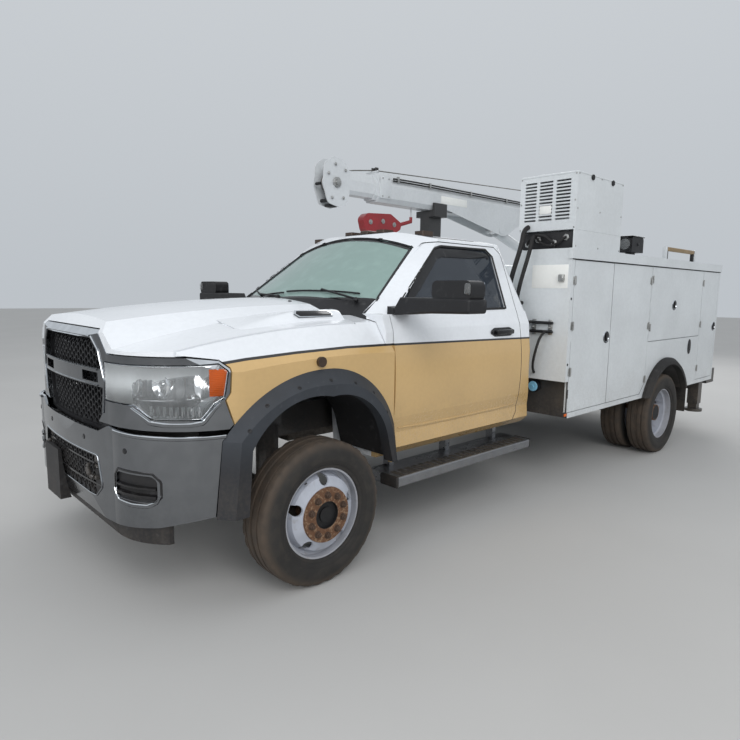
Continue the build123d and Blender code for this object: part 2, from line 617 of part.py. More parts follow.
bumper_outer = bumper_form(0)
bumper_inner = bumper_form(BUMPER_SKIN)
bumper_back = bumper_form(BUMPER_SKIN + SLIP_FIT)
with BuildPart() as front_bumper:
    add(bumper_outer)
    add(bumper_inner, mode=Mode.SUBTRACT)
    prism(cross_plane(BUMPER_REAR), BUMPER_FACE, 700, {2: 60, 3: 60}, mode=Mode.INTERSECT)
    prism(cross_plane(BUMPER_REAR), LOWER_OPENING, 700, {0: 30, 1: 30, 2: 30, 5: 30}, mode=Mode.SUBTRACT)
    for side in (-1, 1):
        with BuildSketch(cross_plane(BUMPER_REAR + 90)) as fog:
            with Locations((side * sum(FOG_OPENING[0]) / 2, sum(FOG_OPENING[1]) / 2)):
                RectangleRounded(FOG_OPENING[0][1] - FOG_OPENING[0][0], FOG_OPENING[1][1] - FOG_OPENING[1][0], 34)
        extrude(fog.sketch, amount=500, mode=Mode.SUBTRACT)

with BuildPart() as rails_to_bumper:
    for side in (-1, 1):
        block((FRAME_FRONT - 40, 1000), (side * HORN_Y[0], side * HORN_Y[1]), (RAIL_TOP - RAIL_HEIGHT, RAIL_TOP - 20))
    add(bumper_back, mode=Mode.INTERSECT)
with BuildPart() as whole_frame:
    add(frame.part)
    add(rails_to_bumper.part)
    for mount_x in CAB_MOUNTS_X:
        for side in (-1, 1):
            mount_y = side * (RAIL_OUTER_Y - RAIL_FLANGE / 2)
            rod((mount_x, mount_y, RAIL_TOP - 5), (mount_x, mount_y, TUNNEL[1] - SLIP_FIT), RAIL_FLANGE / 2)

# Black pieces of the front: mesh, carrier behind the lamps, fog pockets, lower grille, dam, plate
CELL_APOTHEM = 17
CELL_WALL = 7
CARRIER_X = (552, 590)
CARRIER_Z = (925, 1252)
CARRIER_TABS = ((440, 930), (985, 1045))
MESH_FIELD = [(-498, 880), (498, 880), (498, 1310), (452, 1375), (-452, 1375), (-498, 1310)]
nose_back = nose_form(NOSE_SKIN + SLIP_FIT)
bumper_plate = bumper_form(BUMPER_SKIN + 16)
bumper_plate_back = bumper_form(BUMPER_SKIN + 24)
with BuildPart() as grille_mesh:
    add(mesh_outer)
    add(mesh_inner, mode=Mode.SUBTRACT)
    prism(cross_plane(700), MESH_FIELD, 400, mode=Mode.INTERSECT)
    with BuildSketch(cross_plane(700)) as cells:
        with Locations((0, 1126)):
            with HexLocations(CELL_APOTHEM + CELL_WALL / 2, 24, 11):
                RegularPolygon(CELL_APOTHEM, 6, major_radius=False)
    extrude(cells.sketch, amount=400, mode=Mode.SUBTRACT)

with BuildPart() as mesh_frame:
    add(nose_back)
    add(mesh_inner, mode=Mode.SUBTRACT)
    prism(cross_plane(700), MESH_FIELD, 400, mode=Mode.INTERSECT)
    prism(cross_plane(700), GRILLE_OPENING, 400, mode=Mode.SUBTRACT)

LAMP_SEAT = 120 + SLIP_FIT
lamp_seat_form = nose_form(LAMP_SEAT)
with BuildPart() as nose_carrier:
    add(nose_back)
    block(CARRIER_X, (-HALF_WIDTH, HALF_WIDTH), CARRIER_Z, Mode.INTERSECT)
    block((CARRIER_X[0] - 10, CARRIER_X[1] + 10), (-440, 440), (RAIL_TOP, 1400), Mode.SUBTRACT)
    for side in (-1, 1):
        with BuildSketch(side_plane(side * HALF_WIDTH + side * 20)) as lamp_space:
            with BuildLine():
                Polyline(*LAMP_LINE, close=True)
            make_face()
            offset(amount=LAMP_GAP)
        extrude(lamp_space.sketch, amount=side * (HALF_WIDTH + 20 - LAMP_INNER_Y + LAMP_GAP), mode=Mode.SUBTRACT)
with BuildPart() as carrier_tabs:
    add(nose_back)
    block((CARRIER_TABS[0][0], CARRIER_X[0] + 5), (-HALF_WIDTH, HALF_WIDTH), CARRIER_TABS[1], Mode.INTERSECT)
    block((CARRIER_TABS[0][0] - 5, CARRIER_X[1]), (-CARRIER_TABS[0][1], CARRIER_TABS[0][1]), CARRIER_Z, Mode.SUBTRACT)
with BuildPart() as lamp_seats:
    add(lamp_seat_form)
    block(CARRIER_X, (-HALF_WIDTH, HALF_WIDTH), (LAMP_LINE[4][1] - 40, CARRIER_Z[1]), Mode.INTERSECT)
    block((CARRIER_X[0] - 10, CARRIER_X[1] + 10), (-LAMP_INNER_Y + 70, LAMP_INNER_Y - 70), (900, 1400), Mode.SUBTRACT)

with BuildPart() as bumper_lining:
    add(bumper_back)
    add(bumper_plate, mode=Mode.SUBTRACT)
    prism(cross_plane(600), [(-500, 520), (500, 520), (500, 790), (-500, 790)], 500, mode=Mode.INTERSECT)
    for side in (-1, 1):
        block((FRAME_FRONT, 1000), (side * (HORN_Y[0] - PANEL_GAP), side * (HORN_Y[1] + PANEL_GAP)),
              (RAIL_TOP - RAIL_HEIGHT - PANEL_GAP, RAIL_TOP), Mode.SUBTRACT)
    with BuildSketch(cross_plane(600)) as cells:
        with Locations((0, 655)):
            with HexLocations(CELL_APOTHEM + CELL_WALL / 2, 21, 5):
                RegularPolygon(CELL_APOTHEM, 6, major_radius=False)
    extrude(cells.sketch, amount=500, mode=Mode.SUBTRACT)
with BuildPart() as fog_pocket:
    add(bumper_back)
    add(bumper_plate_back, mode=Mode.SUBTRACT)
    block((BUMPER_REAR + 60, 1000), (FOG_OPENING[0][0] - 40, FOG_OPENING[0][1] + 30),
          (FOG_OPENING[1][0] - 40, FOG_OPENING[1][1] + 40), Mode.INTERSECT)
with BuildPart() as air_dam:
    add(bumper_back)
    add(bumper_plate, mode=Mode.SUBTRACT)
    block((BUMPER_REAR + 40, 1000), (-880, 880), (392, 505), Mode.INTERSECT)
with BuildPart() as plate_holder:
    block((900, FRONT_OVERHANG), (-352, -104), (395, 690))
    add(bumper_form(-SLIP_FIT), mode=Mode.SUBTRACT)

with BuildPart() as front_inserts:
    for piece in (grille_mesh, mesh_frame, nose_carrier, carrier_tabs, lamp_seats, bumper_lining, fog_pocket,
                  air_dam, plate_holder):
        add(piece.part)
    both_sides(fog_pocket.part)

# Black flares over the front wheels, and the liners inside them
with BuildPart() as arch_left:
    loft([arch(side_plane(HALF_WIDTH + SLIP_FIT), FLARE_OUTER, FLARE_FOOT_Z),
          arch(side_plane(HALF_WIDTH + FLARE_REACH), FLARE_CREASE, FLARE_FOOT_Z)], ruled=True)
    extrude(arch(side_plane(HALF_WIDTH + 200), FLARE_OPENING, 300), amount=400, mode=Mode.SUBTRACT)
    block((-800, -300), (900, 1200), (400, FLARE_OUTER[5][1]), Mode.SUBTRACT)
with BuildPart() as liner_left:
    liner_plane = side_plane(HALF_WIDTH)
    liner_depth = HALF_WIDTH - LINER_INNER_Y
    extrude(arch(liner_plane, spread(FLARE_OPENING, LINER_OUT), FLARE_FOOT_Z), amount=liner_depth)
    extrude(arch(liner_plane, spread(FLARE_OPENING, LINER_OUT - LINER_THICKNESS), 300), amount=liner_depth,
            mode=Mode.SUBTRACT)
    block((-800, -300), (500, 1200), (400, FLARE_OUTER[5][1] + 20), Mode.SUBTRACT)
with BuildPart() as front_arches:
    for piece in (arch_left, liner_left):
        add(piece.part)
        both_sides(piece.part)


# Cab: the outer form, from which the shell, doors and glass are cut
CAB_SECTION = ((985, 640), (968, 730), (990, 830), (1001, 1100), (972, 1370), (BELT_HALF_WIDTH, BELT_Z))
# Plan of the cab below the belt: height, half width
CAB_PLAN = ((SILL_Z - 10, HALF_WIDTH + 2), (1160, HALF_WIDTH + 2), (1372, 980), (BELT_Z, BELT_HALF_WIDTH + 3))
SILL_Y = 900
COWL_FRONT = -384
FIREWALL_X = -545
LEAN = (BELT_HALF_WIDTH - ROOF_HALF_WIDTH) / (ROOF_EDGE_Z - BELT_Z)
REAR_LEAN = 0.24
GREENHOUSE_TOP = 2120


def greenhouse_outline(z, inset):
    """The cab's outline in top view at a height above the belt."""
    half = BELT_HALF_WIDTH - LEAN * (z - BELT_Z) - inset
    rear = CAB_REAR + REAR_LEAN * (z - BELT_Z + 34) + inset
    with BuildSketch(floor_plane(z)) as face:
        with BuildLine():
            Polyline((0, -half), (0, half), (rear, half), (rear, -half), close=True)
        make_face()
        fillet(face.vertices().group_by(Axis.X)[0], CAB_CORNER - inset)
    return face.sketch


def screen_frame():
    """The windscreen's base on the centreline, its normal and its way up the slope."""
    slope = radians(SCREEN_SLOPE)
    base = Vector(FRONT_AXLE_X + SCREEN_BASE[0], 0, SCREEN_BASE[1])
    return base, Vector(sin(slope), 0, cos(slope)), Vector(-cos(slope), 0, sin(slope))


def cab_form(inset):
    """The cab's outer form as one solid, drawn in by inset."""
    with BuildSketch(cross_plane(CAB_REAR - 20)) as section:
        with BuildLine():
            for side in (-1, 1):
                wall = [(side * y, z) for y, z in CAB_SECTION]
                Polyline((0, TUNNEL[1]), (side * TUNNEL[0], TUNNEL[1]), (side * (TUNNEL[0] + 30), SILL_Z),
                         (side * SILL_Y, SILL_Z), wall[0], wall[1], wall[2])
                ThreePointArc(*wall[2:5])
                Polyline(wall[4], wall[5], (wall[5][0] - side * LEAN * 150, BELT_Z + 150), (0, BELT_Z + 150))
        make_face()
        if inset:
            offset(amount=-inset, kind=Kind.INTERSECTION)
    plans = []
    for z, plan_half in CAB_PLAN:
        with BuildSketch(floor_plane(z)) as plan:
            with BuildLine():
                Polyline((FIREWALL_X - inset, inset - plan_half), (FIREWALL_X - inset, plan_half - inset),
                         (CAB_REAR + inset, plan_half - inset), (CAB_REAR + inset, inset - plan_half), close=True)
            make_face()
            fillet(plan.vertices().group_by(Axis.X)[0], CAB_CORNER - inset)
        plans.append(plan.sketch)
    with BuildPart() as envelope:
        loft(plans, ruled=True)
    with BuildPart() as lower:
        extrude(section.sketch, amount=2000)
        add(envelope.part, mode=Mode.INTERSECT)
    base, normal, slope = screen_frame()
    with BuildSketch(Plane(origin=base - normal * SCREEN_RADIUS, x_dir=(0, 1, 0), z_dir=slope)) as screen:
        Circle(SCREEN_RADIUS - inset)
    crown = ROOF_CROWN_Z - inset
    edge = ROOF_EDGE_Z - inset
    with BuildSketch(cross_plane(CAB_REAR - 20)) as roof:
        with BuildLine():
            ThreePointArc((-ROOF_HALF_WIDTH - 60, edge - 16), (0, crown), (ROOF_HALF_WIDTH + 60, edge - 16))
            Polyline((ROOF_HALF_WIDTH + 60, edge - 16), (HALF_WIDTH, edge - 80), (HALF_WIDTH, 1000),
                     (-HALF_WIDTH, 1000), (-HALF_WIDTH, edge - 80), (-ROOF_HALF_WIDTH - 60, edge - 16))
        make_face()
    with BuildSketch(side_plane(HALF_WIDTH)) as profile:
        with BuildLine():
            ThreePointArc((CAB_REAR - 10, crown - 75), (-1620, crown), (-900, crown - 85))
            Polyline((-900, crown - 85), (0, crown - 240), (0, 1000), (CAB_REAR - 10, 1000),
                     (CAB_REAR - 10, crown - 75))
        make_face()
    with BuildPart() as greenhouse:
        loft([greenhouse_outline(BELT_Z - (2 if inset else 32), inset), greenhouse_outline(GREENHOUSE_TOP, inset)],
             ruled=True)
        extrude(screen.sketch, amount=3000, both=True, mode=Mode.INTERSECT)
        extrude(roof.sketch, amount=2200, mode=Mode.INTERSECT)
        extrude(profile.sketch, amount=2 * HALF_WIDTH, mode=Mode.INTERSECT)
    with BuildPart() as form:
        add(lower.part)
        add(greenhouse.part)
    return form.part


cab_outer = cab_form(0)
cab_inner = cab_form(CAB_WALL)
cab_door_inner = cab_form(DOOR_THICKNESS)
cab_door_space = cab_form(DOOR_THICKNESS + PANEL_GAP)
glass_outer = cab_form(GLASS_INSET)
glass_inner = cab_form(GLASS_INSET + GLASS_THICKNESS)

# Side view outlines, (x, z)
DOOR_FRONT = CAB_FRONT
DOOR_LINE = [(-634, 597), (DOOR_FRONT, 720), (DOOR_FRONT, 1458), (-668, 1572), (-952, 1770), (-1190, 1936),
             (-1262, 1943), (-1905, 1943), (-1970, 1890), (-1976, 700), (-1866, 597)]
DOOR_ROUNDS = {3: 200, 5: 60, 8: 50, 9: 60}
WINDOW_LINE = [(-700, 1474), (-700, 1500), (-968, 1716), (-1200, 1896), (-1268, 1914), (-1790, 1918),
               (-1848, 1870), (-1840, 1486)]
WINDOW_ROUNDS = {3: 40, 5: 30, 7: 15}
SCREEN_LINE_TOP = 832
SCREEN_SIDES = ((768, 196), (640, 790))
REAR_WINDOW = ((-600, 600), (1530, 1868))
SCREEN_CUT = 228
SCREEN_GLASS_CUT = 208
DOOR_HINGES = ((820, 880), (1240, 1300))
# Front view of the space that a door takes up inside the cab's skin, (y, z)
DOOR_DEPTH = [(930, 500), (1100, 500), (1100, 2100), (560, 2100), (640, 1962), (858, 1470), (930, 1380)]


def screen_face(margin):
    """The windscreen's outline in its own plane, drawn in by margin."""
    base, normal, slope = screen_frame()
    (low_y, low_z), (high_y, high_z) = SCREEN_SIDES
    with BuildSketch(Plane(origin=base + normal * 60, x_dir=(0, 1, 0), z_dir=normal)) as face:
        with BuildLine():
            ThreePointArc((-low_y, low_z), (0, 24), (low_y, low_z))
            Line((low_y, low_z), (high_y, high_z))
            ThreePointArc((high_y, high_z), (0, SCREEN_LINE_TOP), (-high_y, high_z))
            Line((-high_y, high_z), (-low_y, low_z))
        make_face()
        fillet(face.vertices(), 40)
        offset(amount=-margin)
    return face.sketch


def rear_window_face(margin):
    """The rear window's outline in front view, drawn in by margin."""
    (y_low, y_high), (z_low, z_high) = REAR_WINDOW
    with BuildSketch(cross_plane(CAB_REAR - 20)) as face:
        with Locations((0, (z_low + z_high) / 2)):
            RectangleRounded(y_high - y_low - 2 * margin, z_high - z_low - 2 * margin, 60)
    return face.sketch


def side_outline(points, rounds, margin):
    """A face in side view from the truck's left, drawn in by margin."""
    with BuildSketch(side_plane(HALF_WIDTH + 60)) as face:
        with BuildLine():
            Polyline(*points, close=True)
        make_face()
        for number, wanted in rounds.items():
            corner = face.vertices().sort_by_distance(Vector(*points[number]))[0]
            fillet(corner, corner_radius(points, number, wanted))
        if margin:
            offset(amount=-margin)
    return face.sketch


with BuildPart() as door_space:
    add(cab_outer)
    add(cab_door_space, mode=Mode.SUBTRACT)
    extrude(side_outline(DOOR_LINE, DOOR_ROUNDS, -PANEL_GAP / 2), amount=HALF_WIDTH - 400, mode=Mode.INTERSECT)
    prism(cross_plane(CAB_REAR), DOOR_DEPTH, 2000, mode=Mode.INTERSECT)

with BuildPart() as fender_space:
    add(nose_form(-PANEL_GAP / 2))
    add(nose_back, mode=Mode.SUBTRACT)
    block((CAB_FRONT, 0), (FENDER_INNER_Y - PANEL_GAP, HALF_WIDTH + 10), (500, 1700), Mode.INTERSECT)

with BuildPart() as cab_shell:
    add(cab_outer)
    add(cab_inner, mode=Mode.SUBTRACT)
    add(fender_space.part, mode=Mode.SUBTRACT)
    add(mirror(fender_space.part, about=Plane.XZ, mode=Mode.PRIVATE), mode=Mode.SUBTRACT)
    for side in (-1, 1):
        block((CAB_FRONT, FIREWALL_X + 10), (side * (HALF_WIDTH - NOSE_SKIN - SLIP_FIT), side * (HALF_WIDTH + 10)),
              (500, BELT_Z + 100), Mode.SUBTRACT)
    block((COWL_FRONT, 0), (-HALF_WIDTH, HALF_WIDTH), (1300, 1700), Mode.SUBTRACT)
    add(door_space.part, mode=Mode.SUBTRACT)
    add(mirror(door_space.part, about=Plane.XZ, mode=Mode.PRIVATE), mode=Mode.SUBTRACT)
    extrude(screen_face(0), amount=-SCREEN_CUT, mode=Mode.SUBTRACT)
    extrude(rear_window_face(0), amount=320, mode=Mode.SUBTRACT)
    for side in (-1, 1):
        for low, high in DOOR_HINGES:
            block((CAB_FRONT - PANEL_GAP / 2 + SLIP_FIT, CAB_FRONT + PANEL_GAP + 2), (side * 952, side * 968),
                  (low, high))

with BuildPart() as door_left:
    add(cab_outer)
    add(cab_door_inner, mode=Mode.SUBTRACT)
    extrude(side_outline(DOOR_LINE, DOOR_ROUNDS, PANEL_GAP / 2), amount=HALF_WIDTH - 400, mode=Mode.INTERSECT)
    prism(cross_plane(CAB_REAR), DOOR_DEPTH, 2000, mode=Mode.INTERSECT)
    extrude(side_outline(WINDOW_LINE, WINDOW_ROUNDS, 0), amount=HALF_WIDTH - 400, mode=Mode.SUBTRACT)

with BuildPart() as door_glass_left:
    add(glass_outer)
    add(glass_inner, mode=Mode.SUBTRACT)
    extrude(side_outline(WINDOW_LINE, WINDOW_ROUNDS, SLIP_FIT), amount=HALF_WIDTH - 400, mode=Mode.INTERSECT)

with BuildPart() as screen_glass:
    add(glass_outer)
    add(glass_inner, mode=Mode.SUBTRACT)
    extrude(screen_face(SLIP_FIT), amount=-SCREEN_GLASS_CUT, mode=Mode.INTERSECT)
with BuildPart() as rear_glass:
    add(glass_outer)
    add(glass_inner, mode=Mode.SUBTRACT)
    extrude(rear_window_face(SLIP_FIT), amount=320, mode=Mode.INTERSECT)
with BuildPart() as cab_glass:
    add(screen_glass.part)
    add(rear_glass.part)

# Mirrors: a low housing on an arm, with the glass head standing on its outer end
MIRROR_X = (-780, -625)
MIRROR_LOW = ((952, 1520), (1476, 1566))
MIRROR_HEAD = ((1240, 1518), (1555, 1664))
with BuildPart() as mirror_left:
    prism(cross_plane(MIRROR_X[0]), [(MIRROR_LOW[0][0], 1458), (1200, MIRROR_LOW[1][0]),
          (MIRROR_LOW[0][1], MIRROR_LOW[1][0] + 8), (MIRROR_LOW[0][1], MIRROR_LOW[1][1]), (1000, MIRROR_LOW[1][1]),
          (MIRROR_LOW[0][0], 1500)], MIRROR_X[1] - MIRROR_X[0], {2: 20, 3: 20})
    with BuildSketch(cross_plane(MIRROR_X[0] + 15)) as head:
        with Locations((sum(MIRROR_HEAD[0]) / 2, sum(MIRROR_HEAD[1]) / 2)):
            RectangleRounded(MIRROR_HEAD[0][1] - MIRROR_HEAD[0][0], MIRROR_HEAD[1][1] - MIRROR_HEAD[1][0], 36)
    extrude(head.sketch, amount=MIRROR_X[1] - MIRROR_X[0] - 30)
    fillet(mirror_left.edges().group_by(Axis.X)[-1], 14)
    prism(cross_plane(MIRROR_X[0]), [(900, 1462), (MIRROR_LOW[0][0] + 5, 1462), (MIRROR_LOW[0][0] + 5, 1500),
          (900, 1510)], MIRROR_X[1] - MIRROR_X[0])
    add(cab_form(-SLIP_FIT), mode=Mode.SUBTRACT)

# Inside: dashboard with the steering wheel, and a bench seat
DASH_HALF_WIDTH = 868
DASH_LINE = [(FIREWALL_X - CAB_WALL - SLIP_FIT, 1040), (FIREWALL_X - CAB_WALL - SLIP_FIT, 1380), (-700, 1418),
             (-880, 1392), (-950, 1300), (-930, 1150), (-800, 1040)]
STEERING_Y = 410
STEERING_CENTRE = (-1120, 1300)
STEERING_RADIUS = 190
STEERING_TILT = 62
with BuildPart() as dashboard:
    prism(side_plane(DASH_HALF_WIDTH), DASH_LINE, 2 * DASH_HALF_WIDTH, {2: 60, 3: 40, 4: 40, 5: 60})
    rod((-900, STEERING_Y, 1215), (STEERING_CENTRE[0], STEERING_Y, STEERING_CENTRE[1]), 30)
    wheel = Plane(origin=(FRONT_AXLE_X + STEERING_CENTRE[0], STEERING_Y, STEERING_CENTRE[1]), x_dir=(0, 1, 0),
                  z_dir=(-cos(radians(90 - STEERING_TILT)), 0, sin(radians(90 - STEERING_TILT))))
    with Locations(wheel):
        Torus(STEERING_RADIUS, 15)
        Box(2 * STEERING_RADIUS, 44, 22)

SEAT_HALF_WIDTH = 790
SEAT_LINE = [(-1200, 1000), (-1200, 1090), (-1700, 1060), (-1900, 1560), (-2000, 1560), (-1880, 985), (-1700, 965)]
with BuildPart() as seat:
    prism(side_plane(SEAT_HALF_WIDTH), SEAT_LINE, 2 * SEAT_HALF_WIDTH, {0: 40, 1: 50, 2: 60, 3: 40, 4: 40})
    for head_y in (-STEERING_Y, STEERING_Y):
        block((-1985, -1905), (head_y - 130, head_y + 130), (1540, 1700))
    block((-1800, -1300), (-600, 600), (TUNNEL[1] + CAB_WALL + SLIP_FIT, 1010))

# Running boards on drop arms under the sills
BOARD_X = (-2070, -592)
BOARD_Y = (770, 1050)
BOARD_Z = (405, 470)
with BuildPart() as board_left:
    block(BOARD_X, BOARD_Y, BOARD_Z)
    fillet(board_left.edges().filter_by(Axis.X), 12)
    for arm_x in (-1900, -1330, -760):
        block((arm_x - 22, arm_x + 22), (BOARD_Y[0], BOARD_Y[0] + 60), (BOARD_Z[0] + 20, SILL_Z - SLIP_FIT))
with BuildPart() as running_boards:
    add(board_left.part)
    both_sides(board_left.part)


# Service body: two locker packs with a bed between them
ARCH_X = -4300
PACK_INNER_Y = BODY_HALF_WIDTH - PACK_DEPTH
CAP_Z = BODY_TOP - CAP_HEIGHT
# Locker doors of the left pack: front x, rear x, low z, high z, hinged edge (1 front, -1 rear)
LOCKERS = (
    (-2342, -3008, 664, 1858, 1),
    (-3014, -3806, 664, 1858, -1),
    (-3824, -5184, 1156, 1858, 1),
    (-5196, -5702, 664, 1858, 1),
)
# Spaces behind the doors: front x, rear x, low z, high z
LOCKER_SPACES = (
    (-2362, -3784, 684, 1838),
    (-3844, -5164, 1176, 1838),
    (-5216, -5682, 684, 1838),
)
RIGHT_LOCKERS = (0, 1, 2)
CRANE_CORNER = (-5600, -4800)
LOCKER_CORNER = 100


def locker_face(number, margin):
    """The side view of a locker door; a door hinged at its rear edge has its lower corner cut off."""
    front, rear, low, high, hinged = LOCKERS[number]
    corner = LOCKER_CORNER if hinged < 0 else 0
    points = [(front, low), (rear + corner, low), (rear, low + corner), (rear, high), (front, high)]
    if not corner:
        del points[2]
    with BuildSketch(side_plane(BODY_HALF_WIDTH)) as face:
        with BuildLine():
            Polyline(*points, close=True)
        make_face()
        offset(amount=margin, kind=Kind.INTERSECTION)
    return face.sketch


def pack(doors, spaces):
    """The left locker pack with the recesses of its doors, their hinge pins and the spaces behind them."""
    with BuildPart() as whole:
        block((BODY_REAR, BODY_FRONT), (PACK_INNER_Y, BODY_HALF_WIDTH), (BODY_BOTTOM, BODY_TOP))
        fillet(whole.edges().filter_by(Axis.X).group_by(Axis.Y)[0].sort_by(Axis.Z)[-1], PACK_TOP_ROUND)
        block((BODY_FRONT - RECESS_DEPTH, BODY_FRONT + 1), (0, BODY_HALF_WIDTH + 1), (BODY_BOTTOM - 1, RECESS_TOP),
              Mode.SUBTRACT)
        block((BODY_REAR, BODY_FRONT + CAP_OVERHANG), (BODY_HALF_WIDTH - 20, BODY_HALF_WIDTH + CAP_OVERHANG),
              (CAP_Z, BODY_TOP))
        rod((ARCH_X, PACK_INNER_Y - 5, TYRE_RADIUS), (ARCH_X, BODY_HALF_WIDTH + 5, TYRE_RADIUS), ARCH_RADIUS,
            Mode.SUBTRACT)
        for number in doors:
            extrude(locker_face(number, PANEL_GAP / 2), amount=LOCKER_THICKNESS + PANEL_GAP, mode=Mode.SUBTRACT)
        for front, rear, low, high in spaces:
            block((rear, front), (PACK_INNER_Y + PACK_WALL, BODY_HALF_WIDTH - LOCKER_THICKNESS), (low, high),
                  Mode.SUBTRACT)
        for number in doors:
            front, rear, low, high, hinged = LOCKERS[number]
            hinge_x = front if hinged > 0 else rear
            for pin_z in (low + 150, (low + high) / 2, high - 150):
                rod((hinge_x, BODY_HALF_WIDTH, pin_z - 35), (hinge_x, BODY_HALF_WIDTH, pin_z + 35), PANEL_GAP / 2 - SLIP_FIT)
    return whole.part


with BuildPart() as crane_pack:
    add(pack(RIGHT_LOCKERS, LOCKER_SPACES[:2]))
    block(CRANE_CORNER, (PACK_INNER_Y, PACK_INNER_Y + PACK_TOP_ROUND), (LOCKER_SPACES[1][3], BODY_TOP))

with BuildPart() as body_packs:
    add(pack(range(len(LOCKERS)), LOCKER_SPACES))
    both_sides(crane_pack.part)

locker_doors = {}
for number in range(len(LOCKERS)):
    with BuildPart() as locker:
        extrude(locker_face(number, -PANEL_GAP / 2), amount=LOCKER_THICKNESS)
    locker_doors[f"locker_left_{number + 1}"] = locker
for number in RIGHT_LOCKERS:
    with BuildPart() as locker:
        both_sides(locker_doors[f"locker_left_{number + 1}"].part)
    locker_doors[f"locker_right_{number + 1}"] = locker

BED_HALF_WIDTH = PACK_INNER_Y - SLIP_FIT
BULKHEAD_THICKNESS = 30
TAILGATE_PIN_RADIUS = 8
TAILGATE_PIN = (BODY_REAR - TAILGATE_PIN_RADIUS + 1, BED_FLOOR_Z - TAILGATE_PIN_RADIUS)
with BuildPart() as bed:
    block((BODY_REAR, BODY_FRONT), (-BED_HALF_WIDTH, BED_HALF_WIDTH), (BED_FLOOR_Z - BED_FLOOR_THICKNESS, BED_FLOOR_Z))
    block((BODY_FRONT - BULKHEAD_THICKNESS, BODY_FRONT), (-BED_HALF_WIDTH, BED_HALF_WIDTH),
          (BED_FLOOR_Z, BULKHEAD_TOP))
    for sill_x in range(BODY_FRONT - 100, BODY_REAR, -650):
        block((sill_x - 30, sill_x + 30), (-BED_HALF_WIDTH, BED_HALF_WIDTH),
              (RAIL_TOP + SLIP_FIT, BED_FLOOR_Z - BED_FLOOR_THICKNESS))
    for pin_y in (-450, 450):
        rod((TAILGATE_PIN[0], pin_y - 50, TAILGATE_PIN[1]), (TAILGATE_PIN[0], pin_y + 50, TAILGATE_PIN[1]),
            TAILGATE_PIN_RADIUS)

TAILGATE_TOP = BULKHEAD_TOP
with BuildPart() as tailgate:
    block((BODY_REAR, BODY_REAR + TAILGATE_THICKNESS), (-BED_HALF_WIDTH + PANEL_GAP, BED_HALF_WIDTH - PANEL_GAP),
          (BED_FLOOR_Z + PANEL_GAP, TAILGATE_TOP))

# Rear arch flares and mudflaps
MUDFLAP_X = -4965
MUDFLAP_Z = (330, 640)
with BuildPart() as flare_left:
    with BuildSketch(side_plane(BODY_HALF_WIDTH + FLARE_WIDTH)) as band:
        with Locations((ARCH_X, TYRE_RADIUS)):
            Circle(ARCH_RADIUS + FLARE_BAND)
            Circle(ARCH_RADIUS - 4, mode=Mode.SUBTRACT)
    extrude(band.sketch, amount=FLARE_WIDTH - SLIP_FIT)
    block((ARCH_X - 700, ARCH_X + 700), (1100, 1400), (-300, BODY_BOTTOM), Mode.SUBTRACT)
    outer_edges = flare_left.edges().filter_by(GeomType.CIRCLE).group_by(Axis.Y)[-1]
    chamfer(outer_edges.sort_by(SortBy.RADIUS)[-1], FLARE_BAND * 0.55)
with BuildPart() as mudflap_left:
    block((MUDFLAP_X - 12, MUDFLAP_X), (PACK_INNER_Y + 60, BODY_HALF_WIDTH - 10),
          (MUDFLAP_Z[0], BODY_BOTTOM - SLIP_FIT))
with BuildPart() as rear_flares:
    for piece in (flare_left, mudflap_left):
        add(piece.part)
        both_sides(piece.part)

# Rear work bumper, with the beam and housings of the outriggers
REAR_BUMPER_X = (-WHEELBASE - REAR_OVERHANG, min(FRAME_REAR, BODY_REAR) - SLIP_FIT)
REAR_BUMPER_Z = (560, 730)
REAR_BUMPER_HALF = 1150
REAR_BUMPER_WALL = 10
OUTRIGGER_X = -5610
OUTRIGGER_Y = 1075
HOUSING_HALF = 58
LEG_HALF = 48
HOUSING_Z = (330, BODY_BOTTOM - SLIP_FIT)
LEG_Z = (262, 612)
FOOT_RADIUS = 95
HITCH_BOLTS = (120, 80)
HITCH_BOLT_RADIUS = 9
VISE_Y = -560
VISE_BOLTS = (150, 150)
VISE_BOLT_RADIUS = 7
with BuildPart() as work_bumper:
    block(REAR_BUMPER_X, (-REAR_BUMPER_HALF, REAR_BUMPER_HALF), REAR_BUMPER_Z)
    block((REAR_BUMPER_X[0] + REAR_BUMPER_WALL, REAR_BUMPER_X[1] - REAR_BUMPER_WALL),
          (-REAR_BUMPER_HALF - 1, REAR_BUMPER_HALF + 1),
          (REAR_BUMPER_Z[0] - 1, REAR_BUMPER_Z[1] - REAR_BUMPER_WALL), Mode.SUBTRACT)
    for rib_y in (-REAR_BUMPER_HALF, -380, 380, REAR_BUMPER_HALF):
        inner_y = rib_y - REAR_BUMPER_WALL if rib_y > 0 else rib_y + REAR_BUMPER_WALL
        block(REAR_BUMPER_X, (rib_y, inner_y), REAR_BUMPER_Z)
    with Locations(Plane(origin=(FRONT_AXLE_X + REAR_BUMPER_X[0], 0, sum(REAR_BUMPER_Z) / 2), x_dir=(0, 1, 0),
                         z_dir=(-1, 0, 0))):
        with GridLocations(HITCH_BOLTS[0], HITCH_BOLTS[1], 2, 2):
            Cylinder(HITCH_BOLT_RADIUS, 6 * REAR_BUMPER_WALL, mode=Mode.SUBTRACT)
    with Locations((FRONT_AXLE_X + sum(REAR_BUMPER_X) / 2, VISE_Y, REAR_BUMPER_Z[1])):
        with GridLocations(VISE_BOLTS[0], VISE_BOLTS[1], 2, 2):
            Cylinder(VISE_BOLT_RADIUS, 4 * REAR_BUMPER_WALL, mode=Mode.SUBTRACT)

